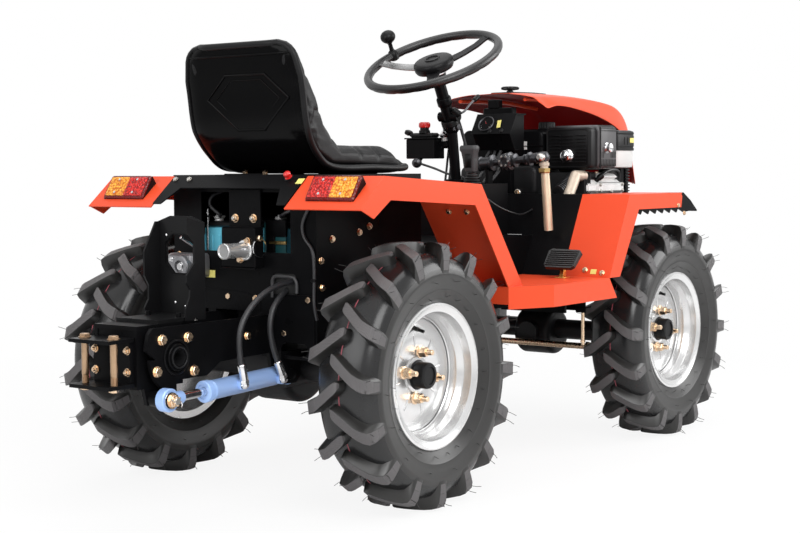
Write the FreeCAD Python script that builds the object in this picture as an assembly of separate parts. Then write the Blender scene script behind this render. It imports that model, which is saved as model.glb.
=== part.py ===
import FreeCAD, Part
import os
from math import acos, cos, pi, radians, sin, sqrt, tan

# Garden tractor with four driven wheels, a steered front axle, an air-cooled
# engine on a deck over the front axle, and a hydraulic two-pin hitch behind.
# Millimetres. X runs forward, Y to the driver's left, Z up. Lengths along X are
# written from the rear axle, and save() moves them to the middle of the footprint.

V = FreeCAD.Vector

# ---- driving dimensions ---------------------------------------------------
WHEELBASE = 1221.0
HALF_TRACK = 398.0
TYRE_RADIUS = 310.0
TYRE_WIDTH = 164.0
RIM_SEAT_RADIUS = 152.4          # a 12 inch rim
RIM_FLANGE_RADIUS = 170.0
RIM_WIDTH = 124.0
RIM_WALL = 5.0
DISC_THICKNESS = 8.0
DISC_RADIUS = 133.0
HUB_RADIUS = 44.0
HUB_CAP_RADIUS = 31.0
HUB_CAP_LENGTH = 34.0
WHEEL_BORE_RADIUS = 18.0
RUNNING_CLEARANCE = 0.05
FACE_GAP = 0.3
STUB_LENGTH = 40.0
HUB_LENGTH = 48.0

SHEET = 3.0                      # body panels

RAIL_INNER = 90.0                # the two frame rails
RAIL_WIDTH = 25.0
RAIL_BOTTOM = 389.0
RAIL_HEIGHT = 70.0
RAIL_FRONT = 1500.0
CROSS_SIZE = 30.0
CROSS_PLACES = (-115.0, 215.0)           # under the seat box
OUTRIGGER_PLACES = (480.0, 730.0)        # under the footboards

AXLE_TUBE_RADIUS = 38.0
GEARBOX_HALF_WIDTH = 80.0
GEARBOX_REAR = -85.0
GEARBOX_FRONT = 262.0
GEARBOX_CASE_BOTTOM = 262.0
DIFF_RADIUS = 93.0

BODY_REAR = -152.0               # seat box
BODY_FRONT = 262.0
BODY_HALF_WIDTH = 228.0
BODY_BOTTOM = 348.0
BODY_TOP = 776.0
WINDOW_BOTTOM = 593.0            # opening in the rear panel over the battery
WINDOW_TOP = 735.0
WINDOW_RIGHT = -150.0
WINDOW_LEFT = 135.0
SLOT_Y = -130.0                  # slot that the two hoses go through
SLOT_WIDTH = 78.0
SLOT_BOTTOM = 488.0
SLOT_TOP = 545.0
OVAL_Y = -160.0
OVAL_Z = 367.0
OVAL_WIDTH = 80.0
OVAL_HEIGHT = 30.0

BATTERY_SETBACK = 36.0
BATTERY_OFFSET = 30.0              # its middle is left of the tractor's
BATTERY_LENGTH = 150.0
BATTERY_WIDTH = 270.0
BATTERY_HEIGHT = 165.0
BATTERY_LIFT = 4.0                # tray over the cross members
TRAY_THICKNESS = 4.0

FENDER_OUTER = 432.0             # rear fenders, outlined in X and Z
FENDER_TAIL = (-247.0, 700.0)
FENDER_REAR_TOP = (-160.0, 773.0)
FENDER_FRONT_TOP = (229.0, 750.0)
SKIRT_DEPTH = 50.0
SKIRT_TIP = (-199.0, 679.0)
LEG_WIDTH = 66.0
LAMP_PANEL_INNER = 212.0

LAMP_INNER = 259.0               # tail lamps
LAMP_OUTER = 397.0
LAMP_TOP = (-195.0, 774.5)
LAMP_BOTTOM = (-229.0, 719.5)

FLOOR_REAR = 350.0               # footboards
FLOOR_FRONT = 763.0
FLOOR_OUTER = 490.0
FLOOR_CHAMFER = 123.0
FLOOR_LIP = 53.0
PANEL_LEAN = 113.0               # how far the upright panels lean forward
PANEL_TOP = 714.0
MUDGUARD_INNER = 343.0
MUDGUARD_FRONT = 1196.0
MUDGUARD_LIP = 42.0
GUARD_EDGE_FRONT = 1485.0        # toothed black guard under each mudguard
GUARD_EDGE_OUTER = 400.0
GUARD_EDGE_BOTTOM = 655.0
GUARD_THICKNESS = 4.0
TOOTH_PITCH = 46.0
TOOTH_DEPTH = 12.0

TUNNEL_INSET = 14.0              # cover over the drive line, between the footboards
TUNNEL_TOP = 600.0
CONSOLE_REAR = 640.0
CONSOLE_HALF_WIDTH = 150.0
CONSOLE_TOP = 745.0
CONSOLE_FRONT = 790.0
DECK_THICKNESS = 6.0
DECK_TOP = 703.0
DECK_FRONT = 1440.0
POST_PLACES = (960.0, 1390.0)

ENGINE_REAR = 990.0
ENGINE_FRONT = 1235.0
ENGINE_LEFT = 150.0
ENGINE_RIGHT = -120.0
ENGINE_HEIGHT = 92.0
CYLINDER_RIGHT = -282.0
CYLINDER_HEIGHT = 72.0
AIR_BOX_REAR = 1000.0
AIR_BOX_FRONT = 1045.0
AIR_BOX_LEFT = -146.0
AIR_BOX_RIGHT = -296.0
AIR_BOX_BOTTOM = 783.0
AIR_BOX_TOP = 905.0
GRILLE_COVER_FRONT = 1150.0
GRILLE_COVER_MARGIN = 6.0
CANISTER_REAR = 1180.0
CANISTER_FRONT = 1300.0
CANISTER_LEFT = -165.0
CANISTER_RIGHT = -282.0
CANISTER_SPLIT = 840.0
CANISTER_TOP = 898.0
TANK_REAR = 1003.0
TANK_FRONT = 1175.0
TANK_RIGHT = -136.0
TANK_LEFT = 150.0
TANK_BOTTOM = 800.0
TANK_TOP = 902.0
FILLER_RADIUS = 24.0
FILLER_HEIGHT = 22.0
FILLER_PLACE = (1070.0, -110.0)

PIPE_RADIUS = 16.0
TAIL_PIPE_RADIUS = 12.0
TAIL_PIPE_TOP = (770.0, -282.0, 819.0)
TAIL_PIPE_LENGTH = 205.0
TAIL_PIPE_DROP = 34.0            # from the middle of the elbow down to the joint
TAIL_PIPE_LEAN = 7.0
TAIL_PIPE_COLLAR = 14.0
SILENCER_RADIUS = 23.0           # a drum and a row of flanges on a thin pipe: start, end and radius
SILENCER_DROP = 20.0
SILENCER_DRUM = (-66.0, -122.0)
SILENCER_PIPE_RADIUS = 8.0
SILENCER_RINGS = ((-146.0, -160.0, 20.0), (-168.0, -182.0, 24.0), (-186.0, -196.0, 18.0),
                  (-236.0, -242.0, 19.0), (-250.0, -262.0, 15.0))

SEAT_HALF_WIDTH = 185.0          # seat pan and cushion, outlined in X and Z
SEAT_TOP = (-171.0, 1080.0)
SEAT_BACK_FOOT = (-133.0, 880.0)
SEAT_BEND = (-87.0, 816.0)
SEAT_HEEL = (-21.0, 781.0)
SEAT_FRONT = (267.0, 779.0)
SEAT_LIP_TOP = (279.0, 802.0)
PAN_THICKNESS = 4.0
CUSHION_INSET = 6.0
CUSHION_FACE = ((-129.0, 1070.0), (-64.0, 964.0), (-35.0, 894.0), (-9.0, 858.0), (22.0, 838.0),
                (233.0, 838.0), (270.0, 812.0))

WHEEL_CENTRE = (639.0, 1086.0)   # steering wheel, X and Z
WHEEL_LEAN = 26.7
STEERING_WHEEL_RADIUS = 188.0
STEERING_RIM_RADIUS = 12.0
COLUMN_RADIUS = 17.0
COLUMN_JOINT_DROP = 203.0
COLUMN_FOOT = (752.0, 745.0)
SPINNER_RADIUS = 18.0
SPINNER_HEIGHT = 56.0
SPINNER_ANGLE = 19.0

INSTRUMENT_RIGHT = -120.0
INSTRUMENT_LEFT = 7.0
INSTRUMENT_REAR = 850.0
INSTRUMENT_FRONT = 925.0
INSTRUMENT_BOTTOM = 838.0
INSTRUMENT_TOP = 943.0

HOOD_REAR = 925.0                # hood shell, outlined in X and Z
HOOD_TOP = 997.0
HOOD_HALF_WIDTH = 180.0
HOOD_TOP_HALF_WIDTH = 154.0
HOOD_SKIRT = 32.0
HOOD_CROWN = ((1190.0, 997.0), (1313.0, 991.0), (1377.0, 985.0), (1416.0, 977.0), (1449.0, 962.0),
              (1476.0, 941.0))
HOOD_NOSE_BEND = (1501.0, 903.0)
HOOD_NOSE_FOOT = (1530.0, 735.0)
# how far the skirt drops and how much of its flare it has, at the rear, at a place behind the crown's
# first, at each of the crown's, at the bend and at the foot
HOOD_SKIRT_SHAPE = ((12.0, 0.4), (36.0, 1.0), (28.0, 1.0), (43.0, 1.0), (60.0, 1.0), (74.0, 1.0), (84.0, 1.0),
                    (92.0, 1.0), (88.0, 1.0), (60.0, 1.0), (6.0, 1.0))
HOOD_HINGE = (1505.0, 716.0)
HOOD_NOTCH_HALF_WIDTH = 40.0
HOOD_NOTCH_LENGTH = 60.0
HEAD_LAMP_RADIUS = 36.0
HEAD_LAMP_Y = 92.0
HEAD_LAMP_HEIGHT = 815.0
HINGE_PIN_RADIUS = 6.0
HINGE_LUG_PLACE = 90.0
HINGE_LUG_WIDTH = 14.0

KINGPIN_Y = 300.0                # front axle and steering
KINGPIN_RADIUS = 13.0
AXLE_EYE_RADIUS = 26.0
BEAM_HEIGHT = 290.0
BEAM_EYE_HEIGHT = 84.0
KNUCKLE_EAR = 12.0
FRONT_DIFF_RADIUS = 70.0
FRONT_DIFF_HEIGHT = 282.0
ARM_LENGTH = 125.0
TIE_ROD_RADIUS = 9.0
TIE_ROD_HEIGHT = 258.0
SADDLE_PLACES = (-54.0, 43.0)
SADDLE_THICKNESS = 11.0
SADDLE_BOTTOM = 345.0
HINGE_FOOT = 40.0
HINGE_FOOT_THICKNESS = 4.0
FRONT_PLATE = 10.0
SADDLE_PIN_HEIGHT = 368.0
SADDLE_PIN_RADIUS = 11.0

PIVOT = (-471.0, 378.0)          # the hitch's cross tube, X and Z
PIVOT_RADIUS = 24.0
PLATE_INNER = 80.0
PLATE_THICKNESS = 10.0
PLATE_TOP = 447.0
HITCH_ARC = 78.0
COUPLER_REAR = -566.0
COUPLER_HALF_WIDTH = 66.0
COUPLER_WALL = 10.0
COUPLER_TOP = 452.0
COUPLER_BOTTOM = 314.0
JAW_REAR = -645.0
JAW_HALF_WIDTH = 62.0
JAW_THICKNESS = 8.0
JAW_TOP = 427.0
JAW_BOTTOM = 320.0
JAW_WEB = -578.0
HITCH_PIN_RADIUS = 8.0
HITCH_PIN_Y = 45.0
HITCH_PIN_X = -613.0
HITCH_PIN_CLEARANCE = 0.5
TOWER_FRONT = -357.0
TOWER_HALF_WIDTH = 72.0
TOWER_TOP = 676.0
TOWER_HOLE = ((-44, 578), (-17, 554), (21, 554), (44, 578), (44, 623), (21, 641), (-17, 641), (-44, 623))
TOWER_RIGHT_EDGE = ((-420, 480), (-407, 504), (-405, 521), (-416, 537), (-416, 554), (-391, 581), (-391, 625),
                    (-414, 645), (-414, 683), (-368, 671))
TOWER_LEFT_EDGE = ((-411, 475), (-398, 494), (-397, 525), (-410, 548), (-410, 604), (-372, 671))

CYLINDER_Y = -110.0              # lift cylinder, lying along the right hitch plate
BARREL_PIN = (-130.0, 306.0)
ROD_PIN = (-521.0, 291.0)
BARREL_RADIUS = 22.0
BARREL_REACH = 280.0
BARREL_FRONT = 36.0
ROD_RADIUS = 10.0
EYE_RADIUS = 26.0
EYE_WIDTH = 24.0
BARREL_PIN_RADIUS = 10.0
ROD_PIN_RADIUS = 9.0
ROD_PIN_PLAY = 5.0

HOSE_RADIUS = 7.0
HOSE_BEND_SHARE = 0.45
SOCKET_TIP = -262.0                # round coupling on the lift valve
SOCKET_Y = -38.0
SOCKET_Z = 599.0
SOCKET_RADIUS = 16.5
PORT_Y = -141.0
PORT_RADIUS = 9.0
REAR_HOSE = (
    (-315.0, -141.0, 345.0),
    (-329.0, -141.0, 400.0),
    (-305.0, -142.0, 460.0),
    (-245.0, -146.0, 507.0),
    (-185.0, -150.0, 524.0),
    (-126.0, -155.0, 530.0),
)
FRONT_HOSE = (
    (-190.0, -141.0, 340.0),
    (-213.0, -141.0, 387.0),
    (-219.0, -141.0, 438.0),
    (-192.0, -138.0, 487.0),
    (-134.0, -133.0, 514.0),
)

BUMPER_FRONT = 1556.0
BUMPER_THICKNESS = 8.0
BUMPER_HALF_WIDTH = 190.0
BUMPER_BOTTOM = 385.0
BUMPER_HEIGHT = 90.0

# ---- values that follow from them -----------------------------------------
RAIL_TOP = RAIL_BOTTOM + RAIL_HEIGHT
RAIL_OUTER = RAIL_INNER + RAIL_WIDTH
CROSS_TOP = RAIL_TOP + CROSS_SIZE
GEARBOX_TOP = RAIL_TOP - 6.0
FLOOR_TOP = CROSS_TOP + SHEET
BATTERY_TOP = CROSS_TOP + BATTERY_LIFT + TRAY_THICKNESS + BATTERY_HEIGHT
TUNNEL_HALF_WIDTH = BODY_HALF_WIDTH - TUNNEL_INSET
PANEL_TOP_X = FLOOR_FRONT + PANEL_LEAN
DECK_BOTTOM = DECK_TOP - DECK_THICKNESS
FOOTPRINT_MIDDLE = (JAW_REAR + BUMPER_FRONT) / 2.0
LEG_FOOT = (FLOOR_REAR + LEG_WIDTH, FLOOR_TOP)
WHEEL_AXIS = (-sin(radians(WHEEL_LEAN)), cos(radians(WHEEL_LEAN)))


# ---- shapes ----------------------------------------------------------------
def box(x0, x1, y0, y1, z0, z1):
    return Part.makeBox(x1 - x0, y1 - y0, z1 - z0, V(x0, y0, z0))


def rod(start, end, radius):
    a, b = V(*start), V(*end)
    return Part.makeCylinder(radius, (b - a).Length, a, b - a)


def plate_xz(points, y0, y1):
    """A plate with this outline in X and Z, between two places across the tractor."""
    wire = Part.makePolygon([V(x, y0, z) for x, z in points] + [V(points[0][0], y0, points[0][1])])
    return Part.Face(wire).extrude(V(0, y1 - y0, 0))


def plate_yz(points, x0, x1):
    wire = Part.makePolygon([V(x0, y, z) for y, z in points] + [V(x0, points[0][0], points[0][1])])
    return Part.Face(wire).extrude(V(x1 - x0, 0, 0))


def plate_xy(points, z0, z1):
    wire = Part.makePolygon([V(x, y, z0) for x, y in points] + [V(points[0][0], points[0][1], z0)])
    return Part.Face(wire).extrude(V(0, 0, z1 - z0))


def offset_path(points, distance):
    """The path moved to its left by a distance, with its corners mitred."""
    moved = []
    for i, (x, z) in enumerate(points):
        normals = []
        if i > 0:
            dx, dz = x - points[i - 1][0], z - points[i - 1][1]
            normals.append((-dz / sqrt(dx * dx + dz * dz), dx / sqrt(dx * dx + dz * dz)))
        if i < len(points) - 1:
            dx, dz = points[i + 1][0] - x, points[i + 1][1] - z
            normals.append((-dz / sqrt(dx * dx + dz * dz), dx / sqrt(dx * dx + dz * dz)))
        nx = sum(n[0] for n in normals) / len(normals)
        nz = sum(n[1] for n in normals) / len(normals)
        scale = distance / (nx * nx + nz * nz)
        moved.append((x + nx * scale, z + nz * scale))
    return moved


def folded_sheet(points, thickness, y0, y1):
    """Sheet metal folded along a path in X and Z, thickened to the path's left."""
    return plate_xz(points + offset_path(points, thickness)[::-1], y0, y1)


def mirrored(shape):
    return shape.mirror(V(0, 0, 0), V(0, 1, 0))


def both_sides(shape):
    return Part.makeCompound([shape, mirrored(shape)])


def lathe(points, centre_y):
    """A solid of revolution about the Y axis. Each point is (radius, y)."""
    wire = Part.makePolygon([V(r, centre_y + y, 0) for r, y in points + points[:1]])
    return Part.Face(wire).revolve(V(0, 0, 0), V(0, 1, 0), 360)


def fused(first, *others):
    return first.fuse(list(others)).removeSplitter()


def rounded(shape, radius, choose):
    edges = [e for e in shape.Edges if choose(e)]
    return shape.makeFillet(radius, edges)


def is_straight_along(edge, axis):
    a, b = edge.Vertexes[0].Point, edge.Vertexes[-1].Point
    return edge.Length > 0 and abs(abs((b - a).dot(axis)) - edge.Length) < 1e-6


def point_on(start, end, share):
    return tuple(a + (b - a) * share for a, b in zip(start, end))


# ---- wheels ----------------------------------------------------------------
def make_tyre(side, x):
    half = TYRE_WIDTH / 2.0
    bead = RIM_WIDTH / 2.0 - RIM_WALL - 1 - FACE_GAP
    points = [
        (RIM_SEAT_RADIUS + FACE_GAP, -bead), (RIM_FLANGE_RADIUS + 3, -bead), (RIM_FLANGE_RADIUS + 18, -68.0),
        (232.0, -half), (275.0, -half + 2), (298.0, -half + 12), (TYRE_RADIUS, -30.0),
        (TYRE_RADIUS, 30.0), (298.0, half - 12), (275.0, half - 2), (232.0, half),
        (RIM_FLANGE_RADIUS + 18, 68.0), (RIM_FLANGE_RADIUS + 3, bead), (RIM_SEAT_RADIUS + FACE_GAP, bead),
    ]
    return lathe(points, side * HALF_TRACK).translated(V(x, 0, TYRE_RADIUS))


def make_rim(side, x):
    """Rim, dished disc, hub cap outside and bored hub inside. side is +1 on the left."""
    half = RIM_WIDTH / 2.0
    seat = RIM_SEAT_RADIUS
    barrel = lathe([
        (RIM_FLANGE_RADIUS, -half), (RIM_FLANGE_RADIUS, -half + RIM_WALL), (seat, -half + RIM_WALL + 1),
        (seat, -34.0), (140.0, -22.0), (140.0, 22.0), (seat, 34.0), (seat, half - RIM_WALL - 1),
        (RIM_FLANGE_RADIUS, half - RIM_WALL), (RIM_FLANGE_RADIUS, half), (seat - RIM_WALL, half),
        (seat - RIM_WALL, 36.0), (135.0, 24.0), (135.0, -24.0), (seat - RIM_WALL, -36.0),
        (seat - RIM_WALL, -half),
    ], 0.0)
    disc = lathe([
        (0.0, -DISC_THICKNESS), (90.0, -DISC_THICKNESS), (DISC_RADIUS, -2 * DISC_THICKNESS),
        (136.0, -2 * DISC_THICKNESS), (136.0, -DISC_THICKNESS), (DISC_RADIUS - 3, -DISC_THICKNESS),
        (90.0, 0.0), (0.0, 0.0),
    ], 0.0)
    cap = lathe([
        (0.0, 0.0), (HUB_CAP_RADIUS + 3, 0.0), (HUB_CAP_RADIUS, 8.0), (HUB_CAP_RADIUS, HUB_CAP_LENGTH - 3),
        (HUB_CAP_RADIUS - 3, HUB_CAP_LENGTH), (0.0, HUB_CAP_LENGTH),
    ], 0.0)
    hub = Part.makeCylinder(HUB_RADIUS, HUB_LENGTH, V(0, -DISC_THICKNESS - HUB_LENGTH, 0), V(0, 1, 0))
    bore = Part.makeCylinder(WHEEL_BORE_RADIUS + RUNNING_CLEARANCE, STUB_LENGTH + 2,
                             V(0, -DISC_THICKNESS - HUB_LENGTH, 0), V(0, 1, 0))
    shape = fused(barrel, disc, cap, hub).cut(bore)
    if side < 0:
        shape = mirrored(shape)
    return shape.translated(V(x, side * HALF_TRACK, TYRE_RADIUS))


HUB_FACE = HALF_TRACK - DISC_THICKNESS - HUB_LENGTH      # inner end of each hub, from the middle


# ---- frame, gearbox and axles ---------------------------------------------
def make_main_frame():
    """The welded frame, with each bar a solid of its own that meets its neighbours face to face."""
    rail = box(BODY_REAR, RAIL_FRONT, RAIL_INNER, RAIL_OUTER, RAIL_BOTTOM, RAIL_TOP)
    parts = [rail, mirrored(rail)]
    for places, reach in ((CROSS_PLACES, BODY_HALF_WIDTH - SHEET), (OUTRIGGER_PLACES, FLOOR_OUTER - 2 * SHEET)):
        for x in places:
            parts.append(box(x, x + CROSS_SIZE, -reach, reach, RAIL_TOP, CROSS_TOP))
    for x in POST_PLACES:
        post = box(x, x + CROSS_SIZE, RAIL_INNER, RAIL_OUTER, RAIL_TOP, DECK_BOTTOM)
        parts += [post, mirrored(post)]
    for x in SADDLE_PLACES:
        start, end = WHEELBASE + x, WHEELBASE + x + SADDLE_THICKNESS
        saddle = box(start, end, -RAIL_OUTER, RAIL_OUTER, SADDLE_BOTTOM, RAIL_BOTTOM)
        pin_hole = rod((start - 1, 0, SADDLE_PIN_HEIGHT), (end + 1, 0, SADDLE_PIN_HEIGHT),
                       SADDLE_PIN_RADIUS + RUNNING_CLEARANCE)
        parts.append(saddle.cut(pin_hole))
    parts.append(make_hinge_arms())
    return Part.makeCompound(parts)


def make_hinge_arms():
    """Front plate of the frame, with the two arms and pins that carry the hood."""
    hinge_x, hinge_z = HOOD_HINGE
    foot_start, foot_top = RAIL_FRONT - HINGE_FOOT, RAIL_TOP + HINGE_FOOT_THICKNESS
    plate = box(RAIL_FRONT, RAIL_FRONT + FRONT_PLATE, -RAIL_OUTER - 20, RAIL_OUTER + 20, RAIL_BOTTOM, foot_top)
    parts = []
    for lug_y in (-HINGE_LUG_PLACE, HINGE_LUG_PLACE):
        arm = plate_xz([
            (foot_start, RAIL_TOP), (RAIL_FRONT, RAIL_TOP), (hinge_x + 9, hinge_z), (hinge_x, hinge_z + 9),
            (hinge_x - 9, hinge_z),
        ], lug_y - 5, lug_y + 5)
        pin = rod((hinge_x, lug_y - 22, hinge_z), (hinge_x, lug_y + 22, hinge_z), HINGE_PIN_RADIUS)
        inner, outer = sorted((lug_y * 0.9, lug_y * 1.25))
        parts += [arm, pin, box(foot_start, RAIL_FRONT + FRONT_PLATE, inner, outer, RAIL_TOP, foot_top)]
    return fused(plate, *parts)


def make_gearbox():
    """Gearbox and rear axle in one casting, with a stub for each rear wheel."""
    case = box(GEARBOX_REAR, GEARBOX_FRONT, -GEARBOX_HALF_WIDTH, GEARBOX_HALF_WIDTH, GEARBOX_CASE_BOTTOM,
               GEARBOX_TOP)
    case = rounded(case, 14.0, lambda e: is_straight_along(e, V(1, 0, 0)))
    diff = rod((0, -GEARBOX_HALF_WIDTH + 12, TYRE_RADIUS), (0, GEARBOX_HALF_WIDTH - 12, TYRE_RADIUS),
               DIFF_RADIUS)
    diff = rounded(diff, 18.0, lambda e: True)
    parts = [diff]
    for side in (1, -1):
        parts.append(rod((0, side * 60, TYRE_RADIUS), (0, side * (HUB_FACE - FACE_GAP - 14), TYRE_RADIUS),
                         AXLE_TUBE_RADIUS))
        parts.append(rod((0, side * (HUB_FACE - FACE_GAP - 30), TYRE_RADIUS),
                         (0, side * (HUB_FACE - FACE_GAP), TYRE_RADIUS), HUB_RADIUS + 14))
        parts.append(rod((0, side * (HUB_FACE - 2), TYRE_RADIUS),
                         (0, side * (HUB_FACE + STUB_LENGTH), TYRE_RADIUS), WHEEL_BORE_RADIUS))
    return fused(case, *parts)


def make_front_axle():
    x = WHEELBASE
    diff = rod((x, -62, FRONT_DIFF_HEIGHT), (x, 62, FRONT_DIFF_HEIGHT), FRONT_DIFF_RADIUS)
    diff = rounded(diff, 16.0, lambda e: True)
    neck = box(x - 24, x + 24, -32, 32, FRONT_DIFF_HEIGHT, SADDLE_PIN_HEIGHT + 16)
    pin = rod((x - 60, 0, SADDLE_PIN_HEIGHT), (x + 60, 0, SADDLE_PIN_HEIGHT), SADDLE_PIN_RADIUS)
    nose = rod((x - 88, 0, FRONT_DIFF_HEIGHT), (x, 0, FRONT_DIFF_HEIGHT), 34.0)
    parts = [neck, pin, nose]
    for side in (1, -1):
        parts.append(rod((x, side * 40, BEAM_HEIGHT), (x, side * (KINGPIN_Y - 12), BEAM_HEIGHT), 30.0))
        parts.append(rod((x, side * KINGPIN_Y, BEAM_HEIGHT - BEAM_EYE_HEIGHT / 2),
                         (x, side * KINGPIN_Y, BEAM_HEIGHT + BEAM_EYE_HEIGHT / 2), AXLE_EYE_RADIUS))
    shape = fused(diff, *parts)
    for side in (1, -1):
        shape = shape.cut(rod((x, side * KINGPIN_Y, BEAM_HEIGHT - 100),
                              (x, side * KINGPIN_Y, BEAM_HEIGHT + 100), KINGPIN_RADIUS + RUNNING_CLEARANCE))
    return shape


def make_knuckle(side):
    """Steering knuckle: a fork over the beam's eye, with the wheel's stub and the steering arm."""
    x = WHEELBASE
    y = side * KINGPIN_Y
    low = BEAM_HEIGHT - BEAM_EYE_HEIGHT / 2 - FACE_GAP
    high = BEAM_HEIGHT + BEAM_EYE_HEIGHT / 2 + FACE_GAP
    outer = side * (KINGPIN_Y + AXLE_EYE_RADIUS + 5)
    hub_face = side * (HUB_FACE - FACE_GAP)
    post = box(x - 28, x + 28, min(outer, hub_face), max(outer, hub_face), low - KNUCKLE_EAR,
               high + KNUCKLE_EAR)
    parts = [rod((x, y, low - KNUCKLE_EAR - 4), (x, y, high + KNUCKLE_EAR + 4), KINGPIN_RADIUS)]
    for z in (low - KNUCKLE_EAR, high):
        parts.append(rod((x, y, z), (x, y, z + KNUCKLE_EAR), AXLE_EYE_RADIUS))
        parts.append(box(x - AXLE_EYE_RADIUS, x + AXLE_EYE_RADIUS, min(y, outer), max(y, outer), z,
                         z + KNUCKLE_EAR))
    parts.append(rod((x, hub_face - side * 2, TYRE_RADIUS), (x, side * (HUB_FACE + STUB_LENGTH), TYRE_RADIUS),
                     WHEEL_BORE_RADIUS))
    parts.append(box(x - ARM_LENGTH, x, y - 12, y + 12, low - KNUCKLE_EAR - 4, low))
    parts.append(rod((x - ARM_LENGTH, y, low - KNUCKLE_EAR - 4), (x - ARM_LENGTH, y, low), 14.0))
    parts.append(rod((x - ARM_LENGTH, y, low - 2), (x - ARM_LENGTH, y, TIE_ROD_HEIGHT + 18), 6.0))
    return fused(post, *parts)


def make_tie_rod():
    x = WHEELBASE - ARM_LENGTH
    shape = rod((x, -KINGPIN_Y + 8, TIE_ROD_HEIGHT), (x, KINGPIN_Y - 8, TIE_ROD_HEIGHT), TIE_ROD_RADIUS)
    low = BEAM_HEIGHT - BEAM_EYE_HEIGHT / 2
    for side in (1, -1):
        shape = shape.fuse(rod((x, side * KINGPIN_Y, low + FACE_GAP),
                               (x, side * KINGPIN_Y, TIE_ROD_HEIGHT + 12), 15.0))
    for side in (1, -1):
        shape = shape.cut(rod((x, side * KINGPIN_Y, low - 5), (x, side * KINGPIN_Y, TIE_ROD_HEIGHT + 20),
                              6.0 + RUNNING_CLEARANCE))
    return shape


# ---- seat box and what it carries ----------------------------------------
def make_seat_box():
    outer = box(BODY_REAR, BODY_FRONT, -BODY_HALF_WIDTH, BODY_HALF_WIDTH, BODY_BOTTOM, BODY_TOP)
    inner = box(BODY_REAR + SHEET, BODY_FRONT - SHEET, -BODY_HALF_WIDTH + SHEET, BODY_HALF_WIDTH - SHEET,
                BODY_BOTTOM - 1, BODY_TOP - SHEET)
    shape = outer.cut(inner)
    x0, x1 = BODY_REAR - 1, BODY_REAR + SHEET + 1
    cuts = [box(x0, x1, WINDOW_RIGHT, WINDOW_LEFT, WINDOW_BOTTOM, WINDOW_TOP)]
    slot = box(x0, x1, SLOT_Y - SLOT_WIDTH / 2, SLOT_Y + SLOT_WIDTH / 2, SLOT_BOTTOM, SLOT_TOP)
    cuts.append(rounded(slot, 14.0, lambda e: is_straight_along(e, V(1, 0, 0))))
    oval = box(x0, x1, OVAL_Y - OVAL_WIDTH / 2, OVAL_Y + OVAL_WIDTH / 2, OVAL_Z - OVAL_HEIGHT / 2,
               OVAL_Z + OVAL_HEIGHT / 2)
    cuts.append(rounded(oval, OVAL_HEIGHT * 0.49, lambda e: is_straight_along(e, V(1, 0, 0))))
    # the gearbox, hitch plates and frame come out at the back, the rails and gearbox at the front
    cuts.append(box(x0, x1, -RAIL_OUTER - 10, RAIL_OUTER + 10, BODY_BOTTOM - 2, RAIL_TOP + 12))
    cuts.append(box(BODY_FRONT - SHEET - 1, BODY_FRONT + 1, -RAIL_OUTER - 10, RAIL_OUTER + 10,
                    BODY_BOTTOM - 2, RAIL_TOP + 12))
    for side in (1, -1):
        y = side * (BODY_HALF_WIDTH - SHEET / 2)
        cuts.append(rod((0, y - 2, TYRE_RADIUS), (0, y + 2, TYRE_RADIUS), AXLE_TUBE_RADIUS + 10))
    shape = shape.cut(cuts)
    tray_rear, tray_top = BODY_REAR + BATTERY_SETBACK, BATTERY_TOP - BATTERY_HEIGHT
    tray = box(tray_rear, tray_rear + BATTERY_LENGTH, -BODY_HALF_WIDTH + SHEET, BODY_HALF_WIDTH - SHEET,
               tray_top - TRAY_THICKNESS, tray_top)
    return fused(shape, tray)


def make_battery():
    x0 = BODY_REAR + BATTERY_SETBACK
    block = box(x0, x0 + BATTERY_LENGTH, BATTERY_OFFSET - BATTERY_WIDTH / 2, BATTERY_OFFSET + BATTERY_WIDTH / 2,
                BATTERY_TOP - BATTERY_HEIGHT, BATTERY_TOP)
    block = rounded(block, 6.0, lambda e: is_straight_along(e, V(0, 0, 1)))
    posts = [rod((x0 + 22, y, BATTERY_TOP - 1), (x0 + 22, y, BATTERY_TOP + 16), 8.0)
             for y in (BATTERY_OFFSET - 100, BATTERY_OFFSET + 100)]
    return fused(block, *posts)


def panel_point(down):
    """A point on the slanted lamp panel's plane, this far down from its top edge."""
    (x1, z1), (x0, z0) = FENDER_REAR_TOP, FENDER_TAIL
    length = sqrt((x1 - x0) ** 2 + (z1 - z0) ** 2)
    return (x1 + (x0 - x1) * down / length, z1 + (z0 - z1) * down / length)


def make_cross_bar():
    """Slanted sheet between the two lamp panels, deeper at its ends, and its top return."""
    half = LAMP_PANEL_INNER - 1
    outline = [(0, -half), (0, half), (104, half), (104, half - 26), (46, half - 52), (46, -half + 52),
               (104, -half + 26), (104, -half)]
    points = [V(panel_point(s)[0], y, panel_point(s)[1]) for s, y in outline]
    face = Part.Face(Part.makePolygon(points + points[:1]))
    normal = V(FENDER_TAIL[1] - FENDER_REAR_TOP[1], 0, FENDER_REAR_TOP[0] - FENDER_TAIL[0]).normalize()
    sheet = face.extrude(normal * SHEET)
    top = box(FENDER_REAR_TOP[0] - 1, BODY_REAR, -half, half, FENDER_REAR_TOP[1], FENDER_REAR_TOP[1] + SHEET)
    return fused(sheet, top)


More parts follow.
